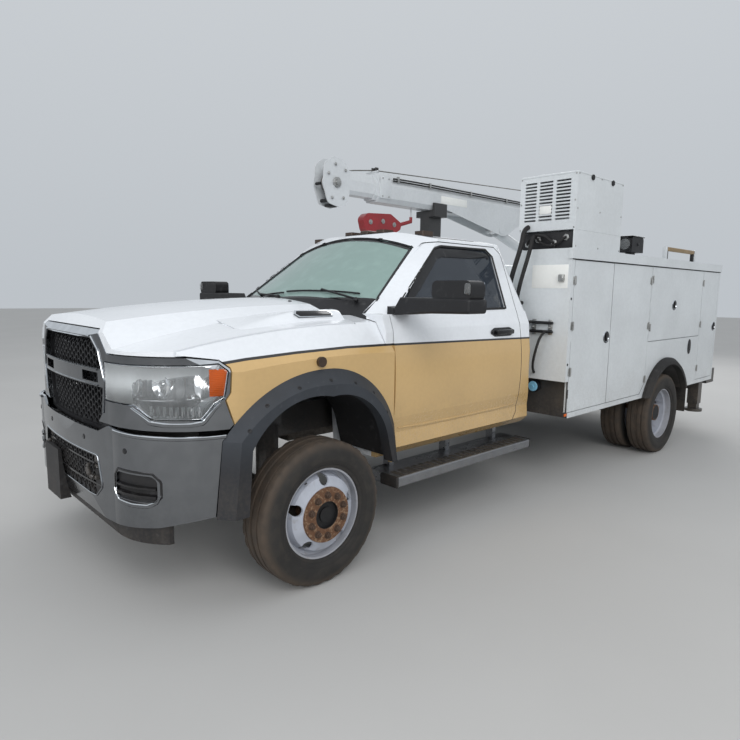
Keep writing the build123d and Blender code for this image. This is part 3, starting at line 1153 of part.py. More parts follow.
with BuildPart() as housing_left:
    block((OUTRIGGER_X - HOUSING_HALF, OUTRIGGER_X + HOUSING_HALF), (OUTRIGGER_Y - HOUSING_HALF, OUTRIGGER_Y + HOUSING_HALF),
          HOUSING_Z)
    block((OUTRIGGER_X - LEG_HALF - SLIP_FIT, OUTRIGGER_X + LEG_HALF + SLIP_FIT),
          (OUTRIGGER_Y - LEG_HALF - SLIP_FIT, OUTRIGGER_Y + LEG_HALF + SLIP_FIT), (0, 2000), Mode.SUBTRACT)
    block((OUTRIGGER_X - 50, OUTRIGGER_X + 50), (RAIL_OUTER_Y + SLIP_FIT, OUTRIGGER_Y - HOUSING_HALF + 2),
          (500, HOUSING_Z[1]))
    block((OUTRIGGER_X - 50, OUTRIGGER_X + 50), (RAIL_OUTER_Y + SLIP_FIT, RAIL_OUTER_Y + 60), (500, RAIL_TOP - 40))
with BuildPart() as rear_bumper:
    for piece in (work_bumper, housing_left):
        add(piece.part)
    both_sides(housing_left.part)
with BuildPart() as outrigger_left:
    block((OUTRIGGER_X - LEG_HALF, OUTRIGGER_X + LEG_HALF), (OUTRIGGER_Y - LEG_HALF, OUTRIGGER_Y + LEG_HALF), LEG_Z)
    rod((OUTRIGGER_X, OUTRIGGER_Y, LEG_Z[0] - 22), (OUTRIGGER_X, OUTRIGGER_Y, LEG_Z[0] + 8), FOOT_RADIUS)

# Compressor: a sheet housing on the left pack, open underneath, with three columns of louvers
BOX_X = (-3085, -2310)
BOX_Y = (709, BODY_HALF_WIDTH)
BOX_TOP = 2515
BOX_WALL = 14
FRONT_APRON_Z = 2085
LOUVER_COLUMNS = ((753, 857), (881, 997), (1025, 1146))
LOUVER_Z = (2162, 2474)
LOUVER_ROWS = 12
LOUVER_OPEN = 14
with BuildPart() as compressor_box:
    block(BOX_X, BOX_Y, (BODY_TOP + SLIP_FIT, BOX_TOP))
    fillet(compressor_box.edges().group_by(Axis.Z)[-1], 10)
    block((BOX_X[0] + BOX_WALL, BOX_X[1] - BOX_WALL), (BOX_Y[0] + BOX_WALL, BOX_Y[1] - BOX_WALL),
          (BODY_TOP, BOX_TOP - BOX_WALL), Mode.SUBTRACT)
    block((BOX_X[1] - 100, BOX_X[1] + 1), (BOX_Y[0] - 1, BOX_Y[1] - BOX_WALL), (BODY_TOP, FRONT_APRON_Z),
          Mode.SUBTRACT)
    row_pitch = (LOUVER_Z[1] - LOUVER_Z[0]) / LOUVER_ROWS
    for low_y, high_y in LOUVER_COLUMNS:
        for row in range(LOUVER_ROWS):
            row_z = LOUVER_Z[0] + row * row_pitch
            block((BOX_X[1] - BOX_WALL - 1, BOX_X[1] + 1), (low_y, high_y), (row_z, row_z + LOUVER_OPEN),
                  Mode.SUBTRACT)
    block((BOX_X[0] + 200, BOX_X[1] - 150), (BOX_Y[0] + 90, BOX_Y[1] - 90), (BODY_TOP + SLIP_FIT, BODY_TOP + 260))
    block((BOX_X[0] + 200, BOX_X[0] + 260), (BOX_Y[0] + BOX_WALL - 2, BOX_Y[1] - BOX_WALL + 2),
          (BODY_TOP + SLIP_FIT, BODY_TOP + 120))

# Black fittings on the body: work lamp, grab rail, filler caps and the rack rail
LAMP_X = (-4090, -3830)
with BuildPart() as body_fittings:
    block((LAMP_X[0], LAMP_X[1]), (840, 980), (BODY_TOP + 60, BODY_TOP + 210))
    block((-4000, -3920), (880, 940), (BODY_TOP + SLIP_FIT, BODY_TOP + 70))
    fillet(body_fittings.edges().filter_by(Axis.Y).group_by(Axis.Z)[-1], 40)
    rod((BODY_FRONT - RECESS_DEPTH + SLIP_FIT, 915, 848), (BODY_FRONT - RECESS_DEPTH + 30, 915, 848), 46)
    block((-5300, -4500), (1020, 1050), (BODY_TOP + 110, BODY_TOP + 140))
    for post_x in (-5270, -4530):
        block((post_x - 15, post_x + 15), (1020, 1050), (BODY_TOP + SLIP_FIT, BODY_TOP + 112))

# Lamps: clearance lamps on the roof, tail lamps and side markers
ROOF_LAMPS = ((0, 2032), (180, 2029), (-180, 2029), (580, 1995), (-580, 1995))
ROOF_LAMP_X = -1300
roof_seat = cab_form(-SLIP_FIT)
with BuildPart() as marker_lamps:
    for lamp_y, lamp_z in ROOF_LAMPS:
        block((ROOF_LAMP_X - 55, ROOF_LAMP_X + 55), (lamp_y - 45, lamp_y + 45), (lamp_z - 60, lamp_z + 32))
    fillet(marker_lamps.edges().group_by(Axis.Z)[-1] + marker_lamps.edges().filter_by(Axis.Z), 12)
    add(roof_seat, mode=Mode.SUBTRACT)
    for side in (-1, 1):
        block((BODY_REAR - SLIP_FIT, BODY_REAR - 22), (side * 780, side * 900), (1050, 1300))
        rod((-30, side * (HALF_WIDTH + SLIP_FIT), 1222), (-30, side * (HALF_WIDTH + 20), 1222), 28)

# Crane: a mast on the right pack, a turning turret, a six-sided boom with two stages inside it
MAST_PLATE = (200, 190, 20)
MAST_RADIUS = 170
MAST_TOP = 1985
MAST_PIN_RADIUS = 60
TURRET_PLATE = 24
CHEEK_THICKNESS = 20
CHEEK_GAP = 6
BARREL_RADIUS = 60
BARREL_BORE = 45
ROD_RADIUS = 28
EYE_HALF_WIDTH = 30
LIFT_EYE_RADIUS = 42
BARREL_SPAN = (30, 818)
GLAND = 18
PISTON_SPAN = (58, 74)
BOOM_REAR = -5470
# A boom stage's section as shares of its half width and height
BOOM_SIDES = ((-1, 0.16), (-1, 0.6), (-0.62, 1), (0.62, 1), (1, 0.6), (1, 0.16), (0.72, 0), (-0.72, 0))
# Stages: rear end, front end, wall
STAGES = ((BOOM_REAR, BOOM_FRONT, BOOM_WALL), (-4800, -2130, 7), (-4650, -1790, 6))
PAD_LENGTH = 80
EXTENSION = 1200
GUSSET_LINE = [(-3190, 2520), (-3190, 2490), (-4230, 2288), (-4330, 2285), (-4420, 2330), (-4720, 2490), (-4720, 2520)]
CHEEK_LINE = [(-5365, MAST_TOP + TURRET_PLATE), (-4995, MAST_TOP + TURRET_PLATE), (-4995, 2130), (-5110, 2200),
              (-5310, 2560), (-5330, 2690), (-5480, 2690), (-5480, 2560)]
CHEEK_ROUNDS = {2: 50, 5: 50, 6: 60, 7: 60}
WINCH = (-5170, 2850)
WINCH_RADIUS = 75
WINCH_FOOT = (110, 96)
WINCH_PLATE = 12
HEAD_LINE = [(-1815, 2500), (-1790, 2400), (-1700, 2362), (-1560, 2390), (-1500, 2560), (-1520, 2740), (-1620, 2810),
             (-1740, 2790), (-1815, 2700)]
HEAD_PIN = (-1657, 2581)
SHEAVE_RADIUS = 105
HOOK_LINE = [(-2020, 2300), (-2060, 2170), (-2380, 2142), (-2540, 2225), (-2560, 2290), (-2400, 2372), (-2080, 2352)]
HOOK_EYE = (-2740, 2330)
REST_X = (-3160, -2955)

turret_foot = MAST_TOP + SLIP_FIT
cheek_y = BOOM_WIDTH / 2 + CHEEK_GAP


def crane_bar(place, half_length, radius, mode=Mode.ADD):
    """A round bar across the crane's middle plane."""
    rod((place[0], CRANE_Y - half_length, place[1]), (place[0], CRANE_Y + half_length, place[1]), radius, mode)


def crane_plate(points, near, thickness, rounds=None):
    """The same plate on both sides of the crane's middle plane, starting near from it."""
    prism(side_plane(CRANE_Y + near + thickness), points, thickness, rounds)
    prism(side_plane(CRANE_Y - near), points, thickness, rounds)


def stage_section(inset, x):
    """The six-sided section of a boom stage, drawn in by inset."""
    points = []
    for share_y, share_z in BOOM_SIDES:
        points.append((CRANE_Y + share_y * (BOOM_WIDTH / 2 - inset),
                       BOOM_BOTTOM + inset + share_z * (BOOM_HEIGHT - 2 * inset)))
    return outline(cross_plane(x), points)


def stage(number):
    """One boom stage as a tube, with the pads that carry it in the stage around it."""
    rear, front, wall = STAGES[number]
    inset = number * STAGE_STEP
    extrude(stage_section(inset, rear), amount=front - rear)
    if number:
        pad_inset = (number - 1) * STAGE_STEP + STAGES[number - 1][2] + SLIP_FIT
        extrude(stage_section(pad_inset, rear), amount=PAD_LENGTH)
    extrude(stage_section(inset + wall, rear - 1), amount=front - rear + 2, mode=Mode.SUBTRACT)


def front_pads(number):
    """Pads in a stage's mouth, round the stage inside it."""
    rear, front, wall = STAGES[number]
    with BuildPart() as ring:
        extrude(stage_section(number * STAGE_STEP + wall / 2, front - PAD_LENGTH), amount=PAD_LENGTH)
        extrude(stage_section((number + 1) * STAGE_STEP - SLIP_FIT, front - PAD_LENGTH - 1), amount=PAD_LENGTH + 2,
                mode=Mode.SUBTRACT)
    add(ring.part)


with BuildPart() as crane_mast:
    block((MAST_X - MAST_PLATE[0], MAST_X + MAST_PLATE[0]), (CRANE_Y - MAST_PLATE[1], CRANE_Y + MAST_PLATE[1]),
          (BODY_TOP + SLIP_FIT, BODY_TOP + MAST_PLATE[2]))
    rod((MAST_X, CRANE_Y, BODY_TOP + SLIP_FIT), (MAST_X, CRANE_Y, MAST_TOP), MAST_RADIUS)
    rod((MAST_X, CRANE_Y, MAST_TOP - 1), (MAST_X, CRANE_Y, turret_foot + TURRET_PLATE), MAST_PIN_RADIUS)

with BuildPart() as crane_turret:
    rod((MAST_X, CRANE_Y, turret_foot), (MAST_X, CRANE_Y, MAST_TOP + TURRET_PLATE), TURRET_RADIUS)
    crane_plate(CHEEK_LINE, cheek_y, CHEEK_THICKNESS, CHEEK_ROUNDS)
    block((-5365, -5340), (CRANE_Y - cheek_y - 5, CRANE_Y + cheek_y + 5), (MAST_TOP + TURRET_PLATE - 1, 2300))
    crane_bar(BOOM_PIVOT, cheek_y + CHEEK_THICKNESS + 1, PIN_RADIUS + RUNNING_FIT, Mode.SUBTRACT)
    rod((MAST_X, CRANE_Y, MAST_TOP), (MAST_X, CRANE_Y, MAST_TOP + TURRET_PLATE + 10), MAST_PIN_RADIUS + RUNNING_FIT,
        Mode.SUBTRACT)
    crane_bar(LIFT_BASE, cheek_y + CHEEK_THICKNESS, PIN_RADIUS)

with BuildPart() as crane_boom:
    stage(0)
    front_pads(0)
    crane_bar(BOOM_PIVOT, cheek_y + CHEEK_THICKNESS + 8, PIN_RADIUS)
    crane_plate(GUSSET_LINE, BOOM_WIDTH / 2 - BOOM_WALL, BOOM_WALL, {1: 30, 2: 60, 3: 60, 4: 60})
    for side in (-1, 1):
        rod((LIFT_EYE[0], CRANE_Y + side * (EYE_HALF_WIDTH + SLIP_FIT), LIFT_EYE[1]),
            (LIFT_EYE[0], CRANE_Y + side * (BOOM_WIDTH / 2 + CHEEK_GAP), LIFT_EYE[1]), 38)
        block((WINCH[0] - WINCH_FOOT[0], WINCH[0] + WINCH_FOOT[0]),
              (CRANE_Y + side * (WINCH_FOOT[1] - WINCH_PLATE), CRANE_Y + side * WINCH_FOOT[1]),
              (BOOM_BOTTOM + BOOM_HEIGHT - 1, WINCH[1] + 50))
    block((WINCH[0] - WINCH_FOOT[0], WINCH[0] + WINCH_FOOT[0]), (CRANE_Y - WINCH_FOOT[1], CRANE_Y + WINCH_FOOT[1]),
          (BOOM_BOTTOM + BOOM_HEIGHT - 1, BOOM_BOTTOM + BOOM_HEIGHT + WINCH_PLATE))
    crane_bar(WINCH, WINCH_FOOT[1] - 1, WINCH_RADIUS)
    rod((HOOK_EYE[0], CRANE_Y, HOOK_EYE[1] + 45), (HOOK_EYE[0], CRANE_Y, BOOM_BOTTOM + 4), 8)

with BuildPart() as boom_extension_1:
    stage(1)
    front_pads(1)

with BuildPart() as boom_extension_2:
    stage(2)
    crane_plate(HEAD_LINE, 62, 14, {1: 40, 2: 60, 3: 60, 4: 60, 5: 60, 6: 60, 7: 60})
    crane_bar(HEAD_PIN, 84, 26)
    crane_bar(HEAD_PIN, 22, SHEAVE_RADIUS)
    block((-1812, -1788), (CRANE_Y - 66, CRANE_Y + 66), (2520, 2690))

with BuildPart() as hook_block:
    prism(side_plane(CRANE_Y + 42), HOOK_LINE, 84, {0: 50, 1: 60, 2: 60, 3: 30, 4: 30, 5: 60, 6: 60})
    rod((-2500, CRANE_Y, 2262), (HOOK_EYE[0], CRANE_Y, HOOK_EYE[1]), 20)
    rod((HOOK_EYE[0], CRANE_Y, HOOK_EYE[1]), (HOOK_EYE[0], CRANE_Y, HOOK_EYE[1] + 45 - SLIP_FIT), 16)

# Lift cylinder, drawn along the line from its base pin to its eye
lift_length = hypot(LIFT_EYE[0] - LIFT_BASE[0], LIFT_EYE[1] - LIFT_BASE[1])


def lift_place(along):
    """A point on the lift cylinder's line, measured from its base pin."""
    share = along / lift_length
    return (LIFT_BASE[0] + share * (LIFT_EYE[0] - LIFT_BASE[0]), CRANE_Y,
            LIFT_BASE[1] + share * (LIFT_EYE[1] - LIFT_BASE[1]))


with BuildPart() as luff_cylinder:
    crane_bar(LIFT_BASE, cheek_y - CHEEK_GAP, 44)
    rod(lift_place(BARREL_SPAN[0]), lift_place(BARREL_SPAN[1]), BARREL_RADIUS)
    rod(lift_place(PISTON_SPAN[0] - 6), lift_place(BARREL_SPAN[1] - GLAND), BARREL_BORE + RUNNING_FIT, Mode.SUBTRACT)
    rod(lift_place(BARREL_SPAN[1] - GLAND - 1), lift_place(BARREL_SPAN[1] + 1), ROD_RADIUS + RUNNING_FIT,
        Mode.SUBTRACT)
    crane_bar(LIFT_BASE, cheek_y, PIN_RADIUS + RUNNING_FIT, Mode.SUBTRACT)

with BuildPart() as luff_rod:
    rod(lift_place(PISTON_SPAN[0]), lift_place(PISTON_SPAN[1]), BARREL_BORE)
    rod(lift_place(PISTON_SPAN[0]), lift_place(lift_length - LIFT_EYE_RADIUS + 2), ROD_RADIUS)
    crane_bar(LIFT_EYE, EYE_HALF_WIDTH, LIFT_EYE_RADIUS)

with BuildPart() as boom_rest:
    block((REST_X[0] - 30, REST_X[1] + 30), (CRANE_Y - 130, CRANE_Y + 130), (BODY_TOP + SLIP_FIT, BODY_TOP + 16))
    block(REST_X, (CRANE_Y - 60, CRANE_Y + 60), (BODY_TOP + 10, BOOM_BOTTOM - 60))
    block(REST_X, (CRANE_Y - 120, CRANE_Y + 140), (BOOM_BOTTOM - 70, BOOM_BOTTOM - 5))
    block(REST_X, (CRANE_Y + 115, CRANE_Y + 140), (BOOM_BOTTOM - 60, BOOM_BOTTOM + 70))


def right_side(left):
    """The same piece on the truck's right side."""
    with BuildPart() as right:
        both_sides(left.part)
    return right


pieces = {
    "frame": whole_frame, "front_axle": front_axle, "rear_axle": rear_axle, "drivetrain": drivetrain,
    "front_bumper": front_bumper, "front_inserts": front_inserts, "grille_surround": grille_surround,
    "headlamps": headlamps, "front_fenders": front_fenders, "front_arches": front_arches, "hood": hood,
    "cab_shell": cab_shell, "cab_glass": cab_glass, "dashboard": dashboard, "seat": seat,
    "running_boards": running_boards, "marker_lamps": marker_lamps, "body_fittings": body_fittings,
    "body_packs": body_packs, "bed_floor": bed, "rear_flares": rear_flares, "rear_bumper": rear_bumper,
    "tailgate": tailgate, "compressor_box": compressor_box, "boom_rest": boom_rest, "crane_mast": crane_mast,
    "crane_turret": crane_turret, "crane_boom": crane_boom, "boom_extension_1": boom_extension_1,
    "boom_extension_2": boom_extension_2, "hook_block": hook_block, "luff_cylinder": luff_cylinder,
    "luff_rod": luff_rod,
}
pieces.update(locker_doors)
handed = {
    "knuckle": knuckle_left, "tyre_front": tyre_front_left, "rim_front": rim_front_left,
    "tyres_rear": tyres_rear_left, "rims_rear": rims_rear_left, "door": door_left, "door_glass": door_glass_left,
    "mirror": mirror_left, "outrigger": outrigger_left,
}
for name, left in handed.items():
    pieces[name + "_left"] = left
    pieces[name + "_right"] = right_side(left)

os.makedirs("parts", exist_ok=True)
for name, piece in pieces.items():
    piece.part.label = name
    export_step(piece.part, f"parts/{name}.step")
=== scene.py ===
from math import cos, exp, pi, radians, sin, sqrt

import bmesh
import bpy
from mathutils import Matrix, Vector
from mathutils.bvhtree import BVHTree


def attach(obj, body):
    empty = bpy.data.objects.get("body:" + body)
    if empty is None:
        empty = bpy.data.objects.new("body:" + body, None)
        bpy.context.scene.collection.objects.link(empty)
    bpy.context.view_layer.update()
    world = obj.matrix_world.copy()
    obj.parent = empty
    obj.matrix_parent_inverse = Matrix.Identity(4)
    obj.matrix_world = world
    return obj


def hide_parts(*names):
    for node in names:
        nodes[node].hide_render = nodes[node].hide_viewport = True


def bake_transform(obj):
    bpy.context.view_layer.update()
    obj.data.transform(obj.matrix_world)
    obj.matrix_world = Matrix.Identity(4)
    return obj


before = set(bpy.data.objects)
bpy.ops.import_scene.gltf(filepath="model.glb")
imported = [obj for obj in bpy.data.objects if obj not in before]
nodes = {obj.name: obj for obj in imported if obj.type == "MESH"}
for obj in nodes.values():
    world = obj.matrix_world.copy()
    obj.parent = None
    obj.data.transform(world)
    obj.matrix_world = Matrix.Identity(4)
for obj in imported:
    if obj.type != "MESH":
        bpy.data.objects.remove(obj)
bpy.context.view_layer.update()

# A tuple is a place in millimetres from the front axle (forward, left, up), as in the truck's source, and a
# size is in millimetres. A Vector is a place in the frame or a way, in metres. Shaders are in metres.
AXLE = 2.505
WHEELBASE = 4280
HUB_Z = 402
CRANE_Y = -900
FORWARD, BACK, LEFT, RIGHT, UP, DOWN = (1, 0, 0), (-1, 0, 0), (0, 1, 0), (0, -1, 0), (0, 0, 1), (0, 0, -1)
SIDES = (1, -1)


def at(x, y, z):
    """A place on the truck, in the frame."""
    return Vector((x / 1000 + AXLE, y / 1000, z / 1000))


def spot(place):
    return place if isinstance(place, Vector) else at(*place)


def about(middle, half):
    return middle - half, middle + half


def evenly(half, count):
    return [-half + 2 * half * number / (count - 1) for number in range(count)]


def turns(count, start=0.0):
    """Angles evenly round a circle."""
    return [start + 2 * pi * number / count for number in range(count)]


def link(name, data):
    thing = bpy.data.objects.new(name, data)
    bpy.context.scene.collection.objects.link(thing)
    return thing


# Camera
CAMERA_PLACE = (1918.7, 3461.3, 1603.5)
YAW, PITCH, ROLL = -2.325, 0.1343, 0.0133
ahead = Vector((cos(YAW) * cos(PITCH), sin(YAW) * cos(PITCH), -sin(PITCH)))
level = Vector((sin(YAW), -cos(YAW), 0))
upright = level.cross(ahead)
aside = cos(ROLL) * level + sin(ROLL) * upright
above = cos(ROLL) * upright - sin(ROLL) * level
camera = link("camera", bpy.data.cameras.new("camera"))
camera.data.lens = 28.63
camera.data.sensor_width = 36
camera.data.clip_end = 300
camera.matrix_world = Matrix((aside, above, -ahead)).transposed().to_4x4()
camera.matrix_world.translation = at(*CAMERA_PLACE)
bpy.context.scene.camera = camera
bpy.context.scene.view_settings.view_transform = "Standard"


# Materials
def tint(*levels):
    """A colour as it looks on the screen, from 0 to 255, as the linear one a shader takes."""
    shares = [level / 255 for level in levels]
    return (*[share / 12.92 if share <= 0.04045 else ((share + 0.055) / 1.055) ** 2.4 for share in shares], 1)


class Shader:
    """A material's node tree, with short ways to add nodes and join them; colours go from 0 to 255."""

    def __init__(self, name, colour, rough, **inputs):
        self.material = bpy.data.materials.new(name)
        self.material.use_nodes = True
        self.tree = self.material.node_tree
        self.surface = self.tree.nodes["Principled BSDF"]
        self.place = self.node("TexCoord", output="Object")
        self.axes = self.node("SeparateXYZ", {0: self.place}).node.outputs
        self.colour = tint(*colour)
        self.rough = rough
        self.normal = None
        for key, value in inputs.items():
            self.surface.inputs[key.replace("_", " ")].default_value = value

    def node(self, kind, inputs=(), output=0, **settings):
        """An output of a new node, whose inputs are given by number or name."""
        node = self.tree.nodes.new("ShaderNode" + kind)
        for key, value in settings.items():
            setattr(node, key, value)
        for key, value in dict(inputs).items():
            self.give(node.inputs[key], value)
        return node.outputs[output]

    def give(self, socket, value):
        if isinstance(value, bpy.types.NodeSocket):
            self.tree.links.new(value, socket)
        else:
            socket.default_value = value

    def noise(self, scale, detail=3, stretch=None):
        place = self.node("Mapping", {0: self.place, 3: stretch}) if stretch else self.place
        return self.node("TexNoise", {"Vector": place, "Scale": scale, "Detail": detail})

    def maths(self, operation, *values, clamp=False):
        return self.node("Math", enumerate(values), operation=operation, use_clamp=clamp)

    def times(self, first, second):
        return self.maths("MULTIPLY", first, second, clamp=True)

    def step(self, value, low, high):
        """0 below low and 1 above high, or the reverse where low is the higher."""
        return self.node("MapRange", {0: value, 1: low, 2: high}, interpolation_type="SMOOTHSTEP")

    def blend(self, share, first, second):
        return self.node("Mix", {0: share, 2: first, 3: second}, data_type="FLOAT")

    def patches(self, scale, detail, low, high, amount):
        return self.times(self.step(self.noise(scale, detail), low, high), amount)

    def cover(self, share, colour, rough=None):
        """Lays another colour over what is there, as far as share says."""
        self.colour = self.node("Mix", {0: share, 6: self.colour, 7: tint(*colour)}, 2, data_type="RGBA")
        if rough is not None:
            self.rough = self.blend(share, self.rough, rough)

    def mottle(self, scale, amount):
        """Makes the colour darker and lighter in soft patches."""
        shades = [(1 + amount * way,) * 3 + (1,) for way in (-1, 1)]
        shade = self.node("Mix", {0: self.step(self.noise(scale, 4), 0.3, 0.7), 6: shades[0], 7: shades[1]}, 2,
            data_type="RGBA", clamp_result=False)
        self.colour = self.node("Mix", {0: 1.0, 6: self.colour, 7: shade}, 2, data_type="RGBA", blend_type="MULTIPLY")

    def dust(self, amount, low, high):
        """Road dust: all of amount below low, none above high, in streaks and patches."""
        patches = self.blend(0.5, self.step(self.noise(7, 6), 0.25, 0.75), self.step(self.noise(60, 5), 0.35, 0.7))
        share = self.times(self.step(self.axes[2], high, low), patches)
        self.cover(self.times(share, amount), DUST, 0.8)

    def bump(self, height, strength, distance):
        inputs = {"Height": height, "Strength": strength, "Distance": distance}
        if self.normal:
            inputs["Normal"] = self.normal
        self.normal = self.node("Bump", inputs)

    def see_through(self, solid):
        """As solid as the share says where it is looked at squarely, and mirrored at a glance."""
        self.give(self.surface.inputs["Alpha"], self.blend(self.node("Fresnel", {"IOR": 1.5}), solid, 1.0))

    def done(self):
        self.give(self.surface.inputs["Base Color"], self.colour)
        self.give(self.surface.inputs["Roughness"], self.rough)
        if self.normal:
            self.give(self.surface.inputs["Normal"], self.normal)
        return self.material


def coated(shader, patch, dust, low, top):
    """Paint's faint unevenness, dust that grows towards the ground, and fine orange peel."""
    shader.mottle(2.2, patch)
    shader.mottle(38, patch / 2)
    shader.dust(dust, low, top)
    shader.bump(shader.noise(420, 2), 0.03, 0.0006)
    return shader.done()


def painted(name, colour, rough, dust=0.25, top=1.1, patch=0.03):
    return coated(Shader(name, colour, rough, Coat_Weight=0.35, Coat_Roughness=0.08), patch, dust, 0.35, top)


def plastic(name, colour, rough, dust=0.3, top=0.9, grain=700, depth=0.2):
    """Moulded plastic with a fine grain, chalky where it is worn."""
    shader = Shader(name, colour, rough)
    shader.mottle(9, 0.12)
    shader.cover(shader.patches(24, 5, 0.55, 0.8, 0.12), (140, 140, 140), 0.7)
    shader.dust(dust, 0.3, top)
    shader.bump(shader.noise(grain, 2), depth, 0.0008)
    return shader.done()


def metal(name, colour, rough, dust=0.3, top=0.9, brush=None, ground_reflection=False):
    """Bare or plated metal, brushed along one way if brush stretches its grain, with faces turned down darkened by a
    painted reflection of the ground where asked.
    """
    shader = Shader(name, colour, rough, Metallic=1.0)
    shader.mottle(14, 0.08)
    shader.rough = shader.blend(shader.step(shader.noise(45, 5, brush), 0.3, 0.7), rough * 0.75, rough * 1.3)
    shader.dust(dust, 0.3, top)
    shader.bump(shader.noise(260, 3, brush), 0.05, 0.0006)
    if ground_reflection:
        # Painted reflection: faces turned down take the dark colour of the ground they would mirror
        facing = shader.node("SeparateXYZ", {0: shader.node("NewGeometry", output="Normal")}, 2)
        shader.cover(shader.times(shader.step(facing, 0.35, -0.05), 0.86), (84, 85, 88), 0.16)
    return shader.done()


WHITE = (233, 236, 240)
DUST = (118, 106, 92)

white_paint = painted("white_paint", WHITE, 0.22)
body_paint = painted("body_paint", (214, 218, 220), 0.36, 0.35, 1.2, 0.045)
crane_paint = painted("crane_paint", (208, 211, 213), 0.3, patch=0.05)
black_frame = painted("black_frame", (44, 43, 43), 0.5, 0.55, 1.0, 0.15)
black_plastic = plastic("black_plastic", (21, 21, 24), 0.55, 0.2)
gloss_black = plastic("gloss_black", (20, 20, 23), 0.16, 0.15, grain=90, depth=0.02)
trim_plastic = plastic("trim_plastic", (62, 62, 66), 0.6, 0.1)
rubber = plastic("rubber", (32, 31, 31), 0.75, 0.35, 1.0, 240, 0.3)
# Chrome, with a painted reflection of the ground darkening its faces turned down
chrome = metal("chrome", (224, 228, 232), 0.1, 0.35, 0.8, ground_reflection=True)
steel = metal("steel", (176, 176, 174), 0.34, 0.35, 1.3)
brushed = metal("brushed", (150, 152, 156), 0.3, 0.3, 0.7, (0.05, 1, 1))
rod_chrome = metal("rod_chrome", (214, 216, 218), 0.12, 0.1)
rope_steel = metal("rope_steel", (126, 124, 120), 0.45, 0.0)
iron = metal("iron", (104, 100, 96), 0.6, 0.6)
wheel_iron = plastic("wheel_iron", (74, 56, 44), 0.7, 0.0, grain=300, depth=0.5)
hook_red = painted("hook_red", (146, 28, 34), 0.3, patch=0.12)
label_white = painted("label_white", (238, 238, 234), 0.4, 0.1)
reflector_silver = metal("reflector_silver", (236, 238, 240), 0.14, 0.0)
amber_lens = plastic("amber_lens", (214, 96, 20), 0.14, 0.1, grain=60, depth=0.1)
red_lens = plastic("red_lens", (150, 22, 24), 0.14, 0.2, grain=60, depth=0.1)
smoked_lens = plastic("smoked_lens", (64, 50, 40), 0.14, 0.05, grain=60, depth=0.05)
cap_blue = plastic("cap_blue", (128, 186, 214), 0.35, 0.2)
rack_wood = plastic("rack_wood", (150, 128, 98), 0.7, 0.1, grain=120, depth=0.4)

# Two-tone paint: white above the pinstripe and tan below it, on the outside only
STRIPE_LINE = ((-2.2, 1.256), (-1.4, 1.27), (-0.6, 1.283), (-0.24, 1.286), (0.106, 1.277), (0.405, 1.262),
    (0.7, 1.236))
STRIPE_X, STRIPE_Z = (-2.3, 0.8), (1.2, 1.3)
STRIPE_HALF = 0.0065
STRIPE_EDGE = 0.0004


def two_tone(name, outside):
    """Paint that changes colour at the pinstripe, where the surface is further out than outside."""
    shader = Shader(name, WHITE, 0.22, Coat_Weight=0.4, Coat_Roughness=0.06)
    along = shader.node("MapRange", {0: shader.axes[0], 1: STRIPE_X[0] + AXLE, 2: STRIPE_X[1] + AXLE})
    ramp = shader.node("ValToRGB", {0: along})
    stops = ramp.node.color_ramp.elements
    for number, (x, z) in enumerate(STRIPE_LINE):
        share = (x - STRIPE_X[0]) / (STRIPE_X[1] - STRIPE_X[0])
        stop = stops[number] if number < 2 else stops.new(share)
        stop.position = share
    for stop, (x, z) in zip(sorted(stops, key=lambda stop: stop.position), STRIPE_LINE):
        stop.color = ((z - STRIPE_Z[0]) / (STRIPE_Z[1] - STRIPE_Z[0]),) * 3 + (1,)
    line = shader.node("MapRange", {0: ramp, 3: STRIPE_Z[0], 4: STRIPE_Z[1]})
    over = shader.maths("SUBTRACT", shader.axes[2], line)
    far = shader.step(shader.maths("ABSOLUTE", shader.axes[1]), outside - 0.001, outside)
    shader.cover(shader.times(shader.step(over, STRIPE_EDGE, -STRIPE_EDGE), far), (206, 172, 118))
    off_line = shader.maths("ABSOLUTE", over)
    stripe = shader.step(off_line, STRIPE_HALF + STRIPE_EDGE, STRIPE_HALF - STRIPE_EDGE)
    shader.cover(shader.times(stripe, far), (44, 42, 42), 0.4)
    return coated(shader, 0.03, 0.4, 0.4, 1.1)


fender_paint = two_tone("fender_paint", 0.72)
cab_paint = two_tone("cab_paint", 0.86)

# Flares: faded slate plastic whose inner lip is darker, and whose lower band is darkened by painted shade
flare = Shader("flare_plastic", (50, 54, 60), 0.6)
flare.mottle(6, 0.1)
flare.cover(flare.patches(30, 5, 0.6, 0.85, 0.5), (84, 86, 90), 0.75)
# Painted shade: the flare grows darker towards its foot
flare.cover(flare.step(flare.axes[2], 0.92, 0.7), (30, 32, 37))
flare.dust(0.25, 0.4, 0.9)
flare.bump(flare.noise(650, 2), 0.2, 0.0008)
flare_plastic = flare.done()


def glass(name, colour, clear):
    """Tinted glass: clear says how much it lets through where it is looked at squarely."""
    shader = Shader(name, colour, 0.03)
    shader.see_through(shader.maths("ADD", shader.patches(9, 5, 0.4, 0.8, 0.12), 1 - clear))
    return shader.done()


screen_glass = glass("screen_glass", (160, 186, 180), 0.36)
side_glass = glass("side_glass", (58, 64, 72), 0.22)
lens_glass = glass("lens_glass", (226, 230, 232), 0.86)
mirror_glass = metal("mirror_glass", (196, 204, 212), 0.03, 0.1)


def wheel_shader(name, colour, rough, x):
    """A shader and how far a place is from the axle at x."""
    shader = Shader(name, colour, rough)
    hub = tuple(at(x, 0, HUB_Z))
    offset = shader.node("VectorMath", {0: shader.place, 1: hub}, operation="SUBTRACT")
    flat = shader.node("VectorMath", {0: offset, 1: (1, 0, 1)}, operation="MULTIPLY")
    return shader, shader.node("VectorMath", {0: flat}, "Value", operation="LENGTH")


